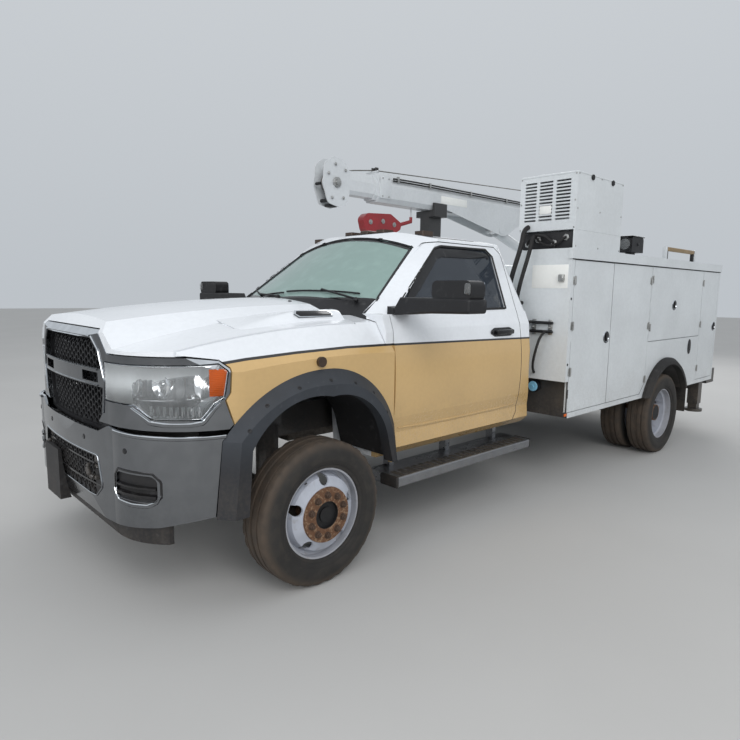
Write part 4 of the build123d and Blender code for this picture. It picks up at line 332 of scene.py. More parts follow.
def tyre_finish(name, x):
    """Dusty rubber, browner towards the tread and rubbed dark on the side wall."""
    shader, radius = wheel_shader(name, (42, 40, 38), 0.8, x)
    shader.mottle(5, 0.16)
    shader.cover(shader.times(shader.step(radius, 0.345, 0.392), 0.85), (82, 70, 59))
    shader.cover(shader.patches(16, 6, 0.4, 0.65, 0.5), (58, 53, 48))
    rings = shader.times(shader.step(radius, 0.3, 0.296), shader.step(radius, 0.262, 0.268))
    shader.cover(shader.times(rings, 0.5), (34, 32, 31))
    shader.bump(shader.noise(90, 6), 0.35, 0.002)
    return shader.done()


def rim_finish(name, x):
    """Dusty white steel, with a rusty hub ring and a dark bore."""
    shader, radius = wheel_shader(name, (176, 180, 190), 0.4, x)
    shader.mottle(12, 0.07)
    shader.cover(shader.patches(26, 6, 0.55, 0.8, 0.45), (132, 120, 106), 0.8)
    shader.cover(shader.times(shader.step(radius, 0.215, 0.245), 0.35), (140, 134, 128), 0.6)
    ring = shader.step(radius, 0.1535, 0.1515)
    shader.cover(ring, (104, 72, 50), 0.75)
    shader.cover(shader.times(shader.patches(75, 6, 0.5, 0.62, ring), 0.7), (150, 124, 98), 0.8)
    shader.cover(shader.step(radius, 0.0765, 0.0745), (20, 19, 20), 0.6)
    shader.bump(shader.noise(180, 4), 0.2, 0.0015)
    return shader.done()


tyre_front_finish = tyre_finish("tyre_front", 0)
tyre_rear_finish = tyre_finish("tyre_rear", -WHEELBASE)
rim_front_finish = rim_finish("rim_front", 0)
rim_rear_finish = rim_finish("rim_rear", -WHEELBASE)

# Seat: dark woven cloth
cloth = Shader("seat_cloth", (66, 66, 70), 0.9, Sheen_Weight=0.2)
cloth.mottle(12, 0.1)
weave, cross = [cloth.node("TexWave", {"Vector": cloth.place, "Scale": 160, "Distortion": 1.5}, 1, bands_direction=way)
    for way in ("X", "Y")]
cloth.bump(cloth.times(weave, cross), 0.5, 0.001)
seat_cloth = cloth.done()


# Finishes of the CAD nodes
def dress(node, *materials, choose=lambda centre, normal: 0):
    """Gives a CAD node its materials; choose says which of them a face takes, its centre in metres from the axle."""
    mesh = nodes[node].data
    mesh.materials.clear()
    for material in materials:
        mesh.materials.append(material)
    for face in mesh.polygons:
        face.material_index = choose(face.center - at(0, 0, 0), face.normal)


def cab_side(centre, normal):
    """Outside 0, inside 1, the dark band under the windscreen 2."""
    if -0.62 < centre.x < -0.4 and abs(centre.y) < 0.8 and 1.36 < centre.z < 1.6 and normal.z > -0.5:
        return 2
    return int(normal.dot(centre - Vector((-1.35, 0, 1.25))) < 0)


def door_side(centre, normal):
    """Outside 0, inside 1."""
    return int(normal.y * (1 if centre.y > 0 else -1) < -0.3)


def pack_side(centre, normal):
    """White 0, black 1 in the low recess at the front and in the wheel arches."""
    recess = centre.x > -2.36 and centre.z < 0.92
    return int(recess or (-4.95 < centre.x < -3.6 and centre.z < 1.06 and abs(centre.y) < 1.19))


for finish, names in (
    (black_frame, "frame front_axle rear_axle rear_bumper boom_rest knuckle_{} outrigger_{}"),
    (chrome, "front_bumper grille_surround"), (black_plastic, "front_inserts body_fittings mirror_{}"),
    (iron, "drivetrain"), (fender_paint, "front_fenders"), (white_paint, "hood"), (screen_glass, "cab_glass"),
    (trim_plastic, "dashboard"), (brushed, "running_boards"), (rubber, "rear_flares"), (hook_red, "hook_block"),
    (body_paint, "bed_floor tailgate compressor_box locker_{}_1 locker_{}_2 locker_{}_3 locker_left_4"),
    (crane_paint, "crane_mast crane_turret crane_boom boom_extension_1 boom_extension_2 luff_cylinder"),
    (rod_chrome, "luff_rod"), (side_glass, "door_glass_{}"), (lens_glass, "headlamps"), (seat_cloth, "seat"),
    (rim_front_finish, "rim_front_{}"), (rim_rear_finish, "rims_rear_{}"),
    (tyre_front_finish, "tyre_front_{}"), (tyre_rear_finish, "tyres_rear_{}"),
):
    for name in names.split():
        for node in {name.format("left"), name.format("right")}:
            dress(node, finish)
for node in ("door_left", "door_right"):
    dress(node, cab_paint, trim_plastic, choose=door_side)
# The flare, and the black liner inside it
dress("front_arches", flare_plastic, black_plastic, choose=lambda centre, normal: int(abs(centre.y) < 0.99))
dress("cab_shell", cab_paint, trim_plastic, black_plastic, choose=cab_side)
dress("body_packs", body_paint, black_frame, choose=pack_side)
# Roof and fender lamps, and tail lamps
dress("marker_lamps", smoked_lens, red_lens, choose=lambda centre, normal: int(centre.x < -5))


# Making pieces
class Form:
    """One mesh of rounded blocks, turned shapes, bars, plates and strips, and after done() the next."""

    def __init__(self):
        self.mesh = bmesh.new()

    def soften(self, verts, bevel):
        edges = list({edge for vert in verts for edge in vert.link_edges})
        bmesh.ops.bevel(self.mesh, geom=edges, offset=bevel / 1000, segments=2, affect="EDGES", profile=0.5,
            clamp_overlap=True)

    def block(self, x, y, z, bevel, turn=None):
        """A box between two places along each axis, its edges rounded; turn is a rotation about its middle."""
        size = Vector([abs(high - low) / 1000 for low, high in (x, y, z)])
        middle = at(sum(x) / 2, sum(y) / 2, sum(z) / 2)
        verts = bmesh.ops.create_cube(self.mesh, size=1)["verts"]
        for vert in verts:
            place = vert.co * size
            vert.co = (turn @ place if turn else place) + middle
        self.soften(verts, bevel)

    def join(self, first, second):
        """Faces between two rings of points; a ring of one point makes a fan."""
        count = max(len(first), len(second))
        for number in range(count):
            after = (number + 1) % count
            corners = dict.fromkeys((first[number % len(first)], first[after % len(first)],
                second[after % len(second)], second[number % len(second)]))
            if len(corners) > 2:
                self.mesh.faces.new(list(corners))

    def loft(self, rings, closed=False):
        """Faces along a run of rings, capped at its ends or closed on itself."""
        for first, second in zip(rings, rings[1:]):
            self.join(first, second)
        if closed:
            self.join(rings[-1], rings[0])
            return
        for ring in (rings[0], rings[-1]):
            if len(ring) > 2:
                self.mesh.faces.new(ring)

    def circle(self, middle, across, beside, radius, sides, start=0.0):
        """A ring of points; radius(number) gives each one's distance."""
        return [self.mesh.verts.new(middle + (across * cos(angle) + beside * sin(angle)) * (radius(number) / 1000))
            for number, angle in enumerate(turns(sides, start))]

    def turned(self, centre, axis, profile, sides=32, start=0.0):
        """A profile of (along, radius) turned about an axis through centre."""
        centre, axis = spot(centre), Vector(axis).normalized()
        across = axis.orthogonal().normalized()
        rings = []
        for along, radius in profile:
            middle = centre + axis * (along / 1000)
            rings.append(self.circle(middle, across, axis.cross(across), lambda number: radius, sides, start)
                if radius else [self.mesh.verts.new(middle)])
        self.loft(rings)

    def bar(self, start, end, radius, sides=16, edge=0.15):
        """A round bar with softened ends."""
        start, end = spot(start), spot(end)
        length = (end - start).length * 1000
        soft = min(radius * edge, length / 3)
        self.turned(start, end - start, [(0, 0), (0, radius - soft), (soft, radius), (length - soft, radius),
            (length, radius - soft), (length, 0)], sides)

    def bolt(self, place, axis, radius, height):
        """A hexagonal head on a washer."""
        self.turned(spot(place) - Vector(axis) / 1000, axis, [(0, radius * 1.45), (2, radius * 1.45),
            (2.6, radius * 1.3)], 16)
        self.turned(place, axis, [(1, radius), (height * 0.8, radius), (height, radius * 0.8), (height, 0)], 6)

    def plate(self, points, way, bevel=1.5):
        """A flat outline of places made thick along way."""
        verts = [self.mesh.verts.new(spot(point)) for point in points]
        grown = bmesh.ops.extrude_face_region(self.mesh, geom=[self.mesh.faces.new(verts)])["geom"]
        top = [item for item in grown if isinstance(item, bmesh.types.BMVert)]
        for vert in top:
            vert.co += way
        self.soften(verts + top, bevel)

    def strip(self, trail, width, height, closed=False):
        """A raised strip along places on a surface, each with its normal; width may change along it."""
        rings = []
        count = len(trail)
        section = ((-0.5, -1.5), (-0.46, height * 0.62), (-0.3, height), (0.3, height), (0.46, height * 0.62),
            (0.5, -1.5))
        for number, (place, normal) in enumerate(trail):
            before = trail[(number - 1) % count if closed else max(number - 1, 0)][0]
            after = trail[(number + 1) % count if closed else min(number + 1, count - 1)][0]
            across = normal.cross(after - before).normalized()
            wide = width(number / (count - 1)) if callable(width) else width
            rings.append([self.mesh.verts.new(place + (across * wide * share + normal * rise) / 1000)
                for share, rise in section])
        self.loft(rings, closed)

    def done(self, name, finish, body="chassis", right=None, sharp=38):
        """The finished piece, riding on a body; right names the body that its mirrored copy rides on."""
        bmesh.ops.recalc_face_normals(self.mesh, faces=self.mesh.faces)
        mesh = bpy.data.meshes.new(name)
        self.mesh.to_mesh(mesh)
        self.mesh.clear()
        mesh.shade_smooth()
        mesh.set_sharp_from_angle(angle=radians(sharp))
        pieces = [place_piece(name, mesh, finish, body)]
        if right:
            other = mesh.copy()
            other.transform(Matrix.Diagonal((1, -1, 1, 1)))
            other.flip_normals()
            pieces.append(place_piece(f"{name}_right", other, finish, right))
        return pieces


def place_piece(name, data, finish, body):
    piece = link(name, data)
    if not data.materials:
        data.materials.append(finish)
    if body:
        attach(piece, body)
    return piece


def hose(name, radius, body, *points):
    """A bent tube through points, fixed at both ends."""
    curve = bpy.data.curves.new(name, "CURVE")
    curve.dimensions = "3D"
    curve.bevel_depth = radius / 1000
    curve.bevel_resolution = 4
    curve.resolution_u = 8
    curve.use_fill_caps = True
    spline = curve.splines.new("NURBS")
    spline.points.add(len(points) - 1)
    for point, place in zip(spline.points, points):
        point.co = (*at(*place), 1)
    spline.use_endpoint_u = True
    spline.order_u = 3
    place_piece(name, curve, rubber, body)


surfaces = {}


def surface(names):
    """The surface of some CAD nodes, to be hit by rays."""
    if names not in surfaces:
        verts, faces = [], []
        for name in names.split():
            mesh = nodes[name].data
            first = len(verts)
            verts += [vert.co.copy() for vert in mesh.vertices]
            faces += [[first + number for number in face.vertices] for face in mesh.polygons]
        surfaces[names] = BVHTree.FromPolygons(verts, faces)
    return surfaces[names]


def land(names, start, way):
    """Where a ray from start first meets CAD nodes, and the normal there, turned against the ray."""
    way = Vector(way)
    place, normal = surface(names).ray_cast(spot(start), way.normalized())[:2]
    if place is None:
        raise ValueError(f"no surface of {names} from {start} along {way}")
    return place, (normal if normal.dot(way) < 0 else -normal)


def spaced(points, count, closed=False):
    """Count places evenly along a run of points."""
    points = [Vector(point) for point in points]
    if closed:
        points.append(points[0])
    lengths = [(after - before).length for before, after in zip(points, points[1:])]
    places = []
    for number in range(count):
        left = sum(lengths) * number / (count if closed else count - 1)
        for start, end, length in zip(points, points[1:], lengths):
            if left <= length + 1e-9:
                places.append(start.lerp(end, min(left / length, 1)))
                break
            left -= length
    return places


def trail(names, points, way, count, closed=False):
    """Places on CAD nodes under a run of points, each with its normal, as rays along way find them."""
    return [land(names, place, way) for place in spaced([at(*point) for point in points], count, closed)]


def flat(points, normal):
    return [(spot(point), Vector(normal)) for point in points]


def swell(thin, more, rate):
    """A strip's width that grows from thin at its ends to thin + more; a higher rate makes it grow sooner."""
    return lambda share: thin + more * min(1, rate * share, rate * (1 - share))


form = Form()
BOTH = ("chassis", "chassis")
DOORS = ("door_left", "door_right")

# Tyres: half the profile as (distance outwards, radius), with the tread's lugs
TYRE_PROFILE = (
    (84, 250.5), (94, 254), (98.5, 262), (99.5, 271), (104.5, 276), (108.5, 288), (111.5, 305), (112.5, 322),
    (111.8, 338), (109.5, 352), (106.5, 358), (106.2, 364), (103, 372), (97.5, 386), (91.5, 395.5), (84, 399.5),
    (58, 401), (56, 392.5), (47, 392.5), (45, 401.5), (13, 401.8), (11, 392.5), (3, 392.5),
)
TREAD_SIDES = 96
NOTCH = 6


def tyre(x, y):
    """A tyre with three grooves round it and notched shoulders."""
    rings = []
    for along, radius in (*TYRE_PROFILE, *[(-along, radius) for along, radius in reversed(TYRE_PROFILE)]):
        notch = NOTCH if abs(along) > 80 and radius > 390 else 0
        rings.append(form.circle(at(x, y + along, HUB_Z), Vector(FORWARD), Vector(UP),
            lambda number: radius if number % 3 else radius - notch, TREAD_SIDES))
    form.loft(rings, closed=True)


for finish, axle, reach, body, node in (
    (tyre_front_finish, 0, (980,), "wheel_front", "tyre_front"),
    (tyre_rear_finish, -WHEELBASE, (848, 1115), "wheel_rear", "tyres_rear"),
):
    for y in reach:
        tyre(axle, y)
    left, right = form.done(f"tread_{node}", finish, f"{body}_left", f"{body}_right", sharp=30)
    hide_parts(f"{node}_left")
    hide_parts(f"{node}_right")

# Valve stems on the rims
form.bar((120, 1062, HUB_Z + 190), (135, 1092, HUB_Z + 205), 5)
form.done("valve_front", black_plastic, "wheel_front_left", "wheel_front_right")

# Nose: lips on the lamps' chrome, on the bumper's top edge and under the fog lamps
for side in SIDES:
    under_lamp = [(x, 1300 * side, z) for x, z in ((872, 1036), (822, 974), (775, 966), (680, 966), (632, 974),
        (580, 1042), (556, 1062))]
    form.strip(trail("grille_surround", under_lamp, (0, -side, 0), 36), swell(13, 9, 4), 9)
    top_lip = []
    for number in range(34):
        share = number / 33
        angle = side * radians(40 + 31 * share)
        out = Vector((cos(angle), sin(angle), 0))
        top_lip.append(land("front_bumper", at(200, 0, 918.5 - 13 * share) + out * 1.6, -out))
    form.strip(top_lip, 19, 8)
    fog = [(1200, side * y, z) for y, z in ((606, 640), (618, 606), (650, 583), (740, 578), (820, 583), (856, 604),
        (872, 640))]
    form.strip(trail("front_bumper", fog, BACK, 40), swell(6, 16, 5), 8)
form.done("chrome_lips", chrome)

for side in SIDES:
    pocket = [(1200, side * y, z) for y, z in ((640, 742), (840, 742), (872, 705), (872, 630), (842, 590), (640, 590),
        (604, 625), (604, 705))]
    form.strip(trail("front_bumper", pocket, BACK, 56, True), 12, 3, True)
form.done("fog_gaskets", gloss_black)

for side in SIDES:
    for z, thick in ((668, 14), (628, 20)):
        form.strip([land("front_inserts", (1200, side * y, z), BACK) for y in (632, 700, 770, 845)], thick, 22)
form.done("fog_blades", gloss_black)

# Headlamps: clear polycarbonate, amber at its outer rear corner
AMBER_X, AMBER_Z = 0.603 + AXLE, (1.098, 1.228)
lens = Shader("lens_glass", (232, 235, 236), 0.04)
corner = lens.times(lens.step(lens.axes[0], AMBER_X + 0.001, AMBER_X),
    lens.step(lens.axes[2], AMBER_Z[0], AMBER_Z[0] + 0.001))
amber = lens.times(corner, lens.step(lens.axes[2], AMBER_Z[1], AMBER_Z[1] - 0.001))
lens.cover(amber, (196, 84, 10))
lens.see_through(lens.blend(amber, lens.maths("ADD", lens.patches(12, 4, 0.4, 0.8, 0.08), 0.1), 0.93))
ribs = lens.node("TexWave", {"Vector": lens.place, "Scale": 36}, 1, bands_direction="Z")
lens.bump(lens.times(ribs, amber), 0.6, 0.002)
lamp_lens = lens.done()

# The lens is the solid's outer face and the silver housing is the rest of it
lamp_mesh = nodes["headlamps"].data
outward = []
for face in lamp_mesh.polygons:
    out = face.center - at(200, 0, 0)
    out.z = 0
    outward.append(face.normal.dot(out.normalized()) > 0.35 and abs(face.normal.z) < 0.6)
for name, keep, finish in (("headlamp_lenses", True, lamp_lens), ("headlamp_housings", False, reflector_silver)):
    shell_mesh = bmesh.new()
    shell_mesh.from_mesh(lamp_mesh)
    spare = [face for face, out in zip(shell_mesh.faces, outward) if out != keep]
    bmesh.ops.delete(shell_mesh, geom=spare, context="FACES")
    bmesh.ops.remove_doubles(shell_mesh, verts=shell_mesh.verts, dist=0.0001)
    mesh = bpy.data.meshes.new(name)
    shell_mesh.to_mesh(mesh)
    shell_mesh.free()
    if not keep:
        mesh.flip_normals()
    mesh.shade_smooth()
    mesh.set_sharp_from_angle(angle=radians(30))
    piece = place_piece(name, mesh, finish, "chassis")
    shell = piece.modifiers.new("shell", "SOLIDIFY")
    shell.thickness = 0.003
    shell.offset = -1 if keep else 1
    if keep:
        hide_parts("headlamps")

BOWLS = ((655, 845, 66), (800, 768, 60))
BOWL_Z, BOWL_DEPTH = 1152, 62
for side in SIDES:
    for y, x, radius in BOWLS:
        way = Vector((1, 0.12 * side, 0))
        centre = at(x, side * y, BOWL_Z)
        curve = [(BOWL_DEPTH * (share ** 2 - 1), 18 + (radius - 18) * share)
            for share in (0.3, 0.45, 0.6, 0.75, 0.9, 1)]
        form.turned(centre, way, [(-BOWL_DEPTH, 12), (-60, 22), *curve, (6, radius + 4), (4, radius + 9),
            (-12, radius + 10)], 40)
        form.bar(centre - way * 0.062, centre - way * 0.022, 11, 20)
form.done("headlamp_bowls", reflector_silver)

SHELF = ((555, 842), (620, 842), (745, 800), (820, 720), (865, 600), (865, 530), (800, 530), (700, 660), (600, 740))
for side in SIDES:
    for y, x, radius in BOWLS:
        form.bar((x - 28, side * y, BOWL_Z), (x - 6, side * y, BOWL_Z), 14, 20, 0.6)
    for z in (1066, 1226):
        form.plate([(x, side * y, z) for x, y in SHELF], Vector((0, 0, 0.006)))
    for x, y in ((862, 575), (805, 728), (722, 862)):
        form.block((x - 50, x), about(side * y, 5), (1070, 1228), 2)
form.done("headlamp_frames", chrome)

for side in SIDES:
    for number in range(9):
        place, normal = land("headlamps", (645 + 22 * number, 1300 * side, 1022), (0, -side, 0))
        inside = (place - normal * 0.014 - at(0, 0, 0)) * 1000
        form.block(about(inside.x, 8.5), about(inside.y, 4), (998, 1052), 3)
form.done("headlamp_prisms", reflector_silver)

# Grille: the surround's bright lips, and the lower opening's bars and rim
for z in (1118, 1196):
    form.strip([land("grille_surround", (1200, y, z), BACK) for y in evenly(430, 25)], 9, 6)
for side in SIDES:
    edge = [(1300, side * y, z) for y, z in ((475, 985), (499, 1150), (447, 1294), (374, 1359.5))]
    form.strip(trail("grille_surround", edge, BACK, 30), 9, 6)
form.strip([land("grille_surround", (1200, y, 1361.5), BACK) for y in evenly(360, 19)], 9, 5)
form.done("grille_lips", chrome)

LOWER_BOW = 0.00013
for z, half in ((600, 440), (708, 420)):
    line = [(at(944 - LOWER_BOW * y * y, y, z), Vector((1, 2 * LOWER_BOW * y, 0)).normalized())
        for y in evenly(half, 25)]
    form.strip(line, 14, 12)
form.done("lower_grille_bars", gloss_black)

rim = [(1300, y, z) for y, z in ((-402, 546), (402, 546), (474, 609), (433, 763), (-433, 763), (-474, 609))]
form.strip(trail("front_bumper", rim, BACK, 110, True), 10, 4, True)
form.done("lower_grille_rim", chrome)

for side in SIDES:
    line = [(x, side * y, z) for x, y, z in ((860, 395, 640), (955, 395, 640), (972, 380, 655), (972, 345, 690),
        (955, 330, 700))]
    for start, end, radius in zip(line, line[1:], (13, 13, 12, 11)):
        form.bar(start, end, radius, 14, 0.5)
form.done("tow_hooks", black_frame)

# Hood: a raised shoulder at its rear on each side, with a blank plate on its outer face
SHOULDER = ((340, 0), (240, 0.25), (120, 0.62), (0, 0.92), (-60, 1), (-330, 1), (-362, 0.9))
SHOULDER_LOW, SHOULDER_HIGH = (790, 0.38), (758, 0.93)
SHOULDER_RISE = 46
rings = []
for x, share in SHOULDER:
    line = []
    for y, rise in ((812, None), SHOULDER_LOW, SHOULDER_HIGH, (742, 1), (718, 0.96), (640, 0.42), (545, None)):
        lift = -3 if rise is None else rise * share * SHOULDER_RISE
        place = land("hood", (x, y, 1800), DOWN)[0]
        line.append(form.mesh.verts.new(place + Vector((0, 0, (lift - 1.5) / 1000))))
    rings.append(line)
form.loft(rings)
form.done("hood_shoulder_left", white_paint, "hood", "hood", sharp=60)

for name, finish, grow_along, grow_over, rise in (
    ("badge_rim_left", chrome, 1.08, 1.3, 2), ("badge_face_left", gloss_black, 1, 1, 4),
):
    low, high = [land("hood", (-160, y, 1800), DOWN)[0] + Vector((0, 0, share * SHOULDER_RISE / 1000))
        for y, share in (SHOULDER_LOW, SHOULDER_HIGH)]
    up = (high - low).normalized()
    out = Vector(FORWARD).cross(up)
    out = out if out.y > 0 else -out
    middle = (low + high) / 2 + Vector((0.005, 0, 0))
    outline = [(-118, -18), (104, -18), (124, 2), (112, 22), (-104, 22), (-128, 0)]
    form.plate([middle + (Vector((along * grow_along, 0, 0)) + up * over * grow_over + out * (rise - 6)) / 1000
        for along, over in outline], out * 0.009, 1.2)
    form.done(name, finish, "hood", "hood")

# Wheel nuts on their ring, and the studs' ends
for name, axle, y in (("front", 0, 1096), ("rear", -WHEELBASE, 992)):
    for angle in turns(10, pi / 10):
        place = (axle + 113 * cos(angle), y, HUB_Z + 113 * sin(angle))
        form.turned(place, LEFT, [(-4, 19.5), (3, 19.5), (4, 18)], 20)
        form.turned(place, LEFT, [(3, 16.5), (18, 16.5), (21, 13.5), (21, 9)], 6, angle)
        form.turned(place, LEFT, [(19, 9.5), (27, 9.5), (28, 8), (28, 0)], 14)
    form.done(f"wheel_nuts_{name}_left", wheel_iron, f"wheel_{name}_left", f"wheel_{name}_right")

# Running boards: treads and end caps
for number in range(22):
    form.block(about(-660 - 64 * number, 22), (930, 1035), (466.5, 471.5), 2.2)
form.done("board_treads", rubber, *BOTH)
for x in (-592, -2070):
    form.block(about(x, 12), (905, 1052), (402, 473.5), 8)
form.done("board_caps", black_plastic, *BOTH)

# Cab: windscreen border, seal and wipers, in the plane of the glass
SLOPE = radians(34.4)
UP_SCREEN = Vector((-cos(SLOPE), 0, sin(SLOPE)))
OFF_SCREEN = Vector((sin(SLOPE), 0, cos(SLOPE)))


def on_screen(place):
    """A place on the windscreen, metres across to the left and up the slope, and the normal there."""
    start = at(-430, 0, 1530) + Vector((0, place[0], 0)) + UP_SCREEN * place[1]
    return land("cab_glass cab_shell", start + OFF_SCREEN * 0.3, -OFF_SCREEN)


def screen_line(inset):
    """Places round the windscreen, its outline drawn in by inset metres."""
    low = [(0.768 - inset, 0.196), (0.4, 0.072), (0, 0.024), (-0.4, 0.072), (-0.768 + inset, 0.196)]
    high = [(-0.64 + inset, 0.79), (-0.33, 0.822), (0, 0.832), (0.33, 0.822), (0.64 - inset, 0.79)]
    outline = [(across, up + inset) for across, up in low] + [(across, up - inset) for across, up in high]
    return [on_screen(place) for place in spaced(outline, 130, True)]


form.strip(screen_line(0.018), 30, 1.2, True)
form.done("screen_border", gloss_black)
form.strip(screen_line(0), 11, 4, True)
form.done("screen_seal", rubber)

for foot, blade in (((0.66, 0.13), ((0.619, 0.212), (0.32, 0.15), (0, 0.105))),
                    ((0.02, 0.01), ((-0.021, 0.092), (-0.29, 0.07), (-0.58, 0.205)))):
    places = [on_screen(place) for place in spaced(blade, 16)]
    line = [place + normal * 0.012 for place, normal in places]
    for start, end in zip(line, line[1:]):
        form.bar(start, end, 6, 10, 0.3)
    base, normal = on_screen(foot)
    form.bar(base + normal * 0.004, base + normal * 0.034, 16, 20, 0.4)
    middle = line[7] + normal * 0.014
    form.bar(base + normal * 0.028, middle, 7, 12, 0.3)
    form.bar(middle, line[7], 9, 12, 0.3)
form.done("wipers", black_plastic)

# Doors: window seals and visors, handles and the crease low on the skin
DOOR = "door_left door_glass_left"
WINDOW_LINE = ((-700, 1474), (-700, 1500), (-968, 1716), (-1200, 1896), (-1268, 1914), (-1790, 1918), (-1848, 1870),
    (-1840, 1486))
VISOR_LINE = ((-750, 1488), (-992, 1688), (-1194, 1854), (-1264, 1870), (-1794, 1874), (-1808, 1850))
CREASE_LINE = ((-660, 760), (-900, 748), (-1300, 745), (-1700, 748), (-1930, 756))
HANDLE_Z = 1316.5


def on_door(points, count, closed=False):
    """Places on the door's outermost skin or glass near a run of points (x, z), across the gaps between them."""
    places = []
    for place in spaced([at(x, 1300, z) for x, z in points], count, closed):
        hits = []
        for dx, dz in ((0, 0), (0, 0.007), (0, -0.007), (0.007, 0), (-0.007, 0)):
            hit, normal = surface(DOOR).ray_cast(place + Vector((dx, 0, dz)), Vector(RIGHT))[:2]
            if hit:
                hits.append((hit.y, normal if normal.y > 0 else -normal))
        reach, normal = max(hits, key=lambda hit: hit[0])
        places.append((Vector((place.x, reach, place.z)), normal))
    return places


form.strip(on_door(WINDOW_LINE, 150, True), 16, 4, True)
form.done("window_seal_left", rubber, *DOORS)
form.strip(on_door(VISOR_LINE, 90), swell(30, 40, 5), 6)
form.done("window_visor_left", gloss_black, *DOORS)

form.strip(on_door([(x, HANDLE_Z) for x in (-1600, -1740, -1868)], 24), swell(30, 36, 7), 6)
skin = land(DOOR, (-1720, 1300, HANDLE_Z), RIGHT)[0].y * 1000
form.block((-1846, -1640), (skin + 18, skin + 34), (1300, 1334), 8)
for x in (-1660, -1826):
    form.block(about(x, 18), (skin - 4, skin + 26), (1303, 1331), 6)
form.turned((-1603, skin + 2, HANDLE_Z), LEFT, [(0, 14), (10, 14), (12, 11), (9, 0)], 24)
form.done("door_handle_left", gloss_black, *DOORS)
form.strip(on_door(CREASE_LINE, 50), swell(4, 12, 6), 3.5)
form.done("door_crease_left", cab_paint, *DOORS)

# Mirrors: glass on the back of the head, and a small clear lamp at its outer end
form.block((-781.5, -776.5), (1262, 1504), (1566, 1654), 4)
form.done("mirror_face_left", mirror_glass, *DOORS)
form.block((-660, -628), (1478, 1514), (1590, 1648), 8)
form.done("mirror_lamp_left", lamp_lens, *DOORS)

# Seat: a padded bench with sewn channels, its back, and two head rests
SEAT_HALF = 785
CHANNEL_DEPTH, CHANNEL_WIDTH = 10, 0.01


def pad(name, corners, half, crown, cells, channels=(), middle=0):
    """A crowned closed cushion from a side outline of four corners (x, z), with channels sewn across it."""
    low_front, high_front, high_rear, low_rear = (at(x, 0, z) for x, z in corners)
    along, across = cells
    grids = []
    for top in (True, False):
        rows = []
        for row in range(along + 1):
            share = row / along
            high = high_front.lerp(high_rear, share)
            low = low_front.lerp(low_rear, share)
            out = (high - low).normalized()
            edge_x = 1 - abs(2 * share - 1) ** 4
            pull = 1 - 0.035 * (1 - edge_x) * (1 if top else 0.5)
            line = []
            for column in range(across + 1):
                beside = column / across
                edge_y = 1 - abs(2 * beside - 1) ** 8
                rise = crown * sqrt(edge_x * edge_y)
                for channel in channels:
                    rise -= CHANNEL_DEPTH * exp(-((beside - channel) / CHANNEL_WIDTH) ** 2) * edge_x
                place = high + out * ((rise - crown) / 1000) if top else low + out * 0.004 * edge_x
                reach = middle + (2 * beside - 1) * half * pull
                line.append(form.mesh.verts.new(place + Vector((0, reach / 1000, 0))))
            rows.append(line)
        grids.append(rows)
    top, bottom = grids
    runs = [pair for rows in grids for pair in zip(rows, rows[1:])]
    runs += [(top[row], bottom[row]) for row in (0, along)]
    runs += [([line[column] for line in top], [line[column] for line in bottom]) for column in (0, across)]
    for first, second in runs:
        for corners in zip(first, first[1:], second[1:], second):
            form.mesh.faces.new(corners)
    piece = form.done(name, seat_cloth, sharp=80)[0]
    smooth = piece.modifiers.new("smooth", "SUBSURF")
    smooth.levels = smooth.render_levels = 1
    return piece


CHANNELS = (0.16, 0.3, 0.385, 0.615, 0.7, 0.84)
cushion = pad("seat_cushion", ((-1205, 1004), (-1205, 1088), (-1690, 1062), (-1700, 972)), SEAT_HALF, 22, (18, 90),
    CHANNELS)
pad("seat_back", ((-1872, 1000), (-1715, 1075), (-1905, 1552), (-1992, 1552)), SEAT_HALF, 22, (18, 90), CHANNELS)
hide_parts("seat")
for name, middle in (("left", 410), ("right", -410)):
    pad(f"head_rest_{name}", ((-1982, 1585), (-1908, 1585), (-1912, 1698), (-1980, 1698)), 125, 16, (8, 16),
        middle=middle)
for y in (350, 470, -350, -470):
    form.bar((-1945, y, 1530), (-1945, y, 1600), 6)
form.done("head_rest_posts", rod_chrome)
form.block((-1700, -1230), (-700, 700), (956, 1006), 12)
form.done("seat_base", trim_plastic)

# Steering wheel and column
TILT = radians(32)
WHEEL_RADIUS = 0.182
tilt = Vector((-cos(TILT), 0, sin(TILT)))
hub = at(-1115, 410, 1300)
across = Vector(LEFT)
over = tilt.cross(across)
rings = []
for angle in turns(48):
    out = across * cos(angle) + over * sin(angle)
    rings.append(form.circle(hub + out * WHEEL_RADIUS, out, tilt, lambda number: 14.5, 10))
form.loft(rings, closed=True)
for angle in (0, pi, -pi / 2):
    out = across * cos(angle) + over * sin(angle)
    form.bar(hub - tilt * 0.012 + out * 0.02, hub + out * 0.178, 13, 12, 0.3)
form.turned(hub - tilt * 0.05, tilt, [(0, 30), (20, 58), (50, 66), (62, 58), (66, 0)], 32)
form.bar(hub - tilt * 0.22, hub - tilt * 0.03, 30, 20)
form.done("steering_wheel", black_plastic)

# Service body: hinges and latches; the fourth locker is on the left side alone
SIDE = 1200
for door, x, heights in (("1", -2350, (1700, 1350, 990)), ("2", -3799, (1725, 1307, 800)), ("3", -3832, (1740, 1290)),
                         ("4", -5204, (1730, 1280, 795))):
    for z in heights:
        for half, radius, sides in ((34, 5.5, 14), (36.5, 3.5, 10)):
            form.bar((x, SIDE + 6, z - half), (x, SIDE + 6, z + half), radius, sides)
        for way in SIDES:
            form.block((x + way * 3, x + way * 26), (SIDE - 1, SIDE + 2.5), about(z, 30), 1)
            for height in about(z, 17):
                form.turned((x + way * 15, SIDE + 2.4, height), LEFT, [(0, 4.2), (1.2, 3.6), (1.8, 0)], 12)
    form.done(f"hinges_locker_left_{door}", steel, "chassis", "chassis" if door != "4" else None)

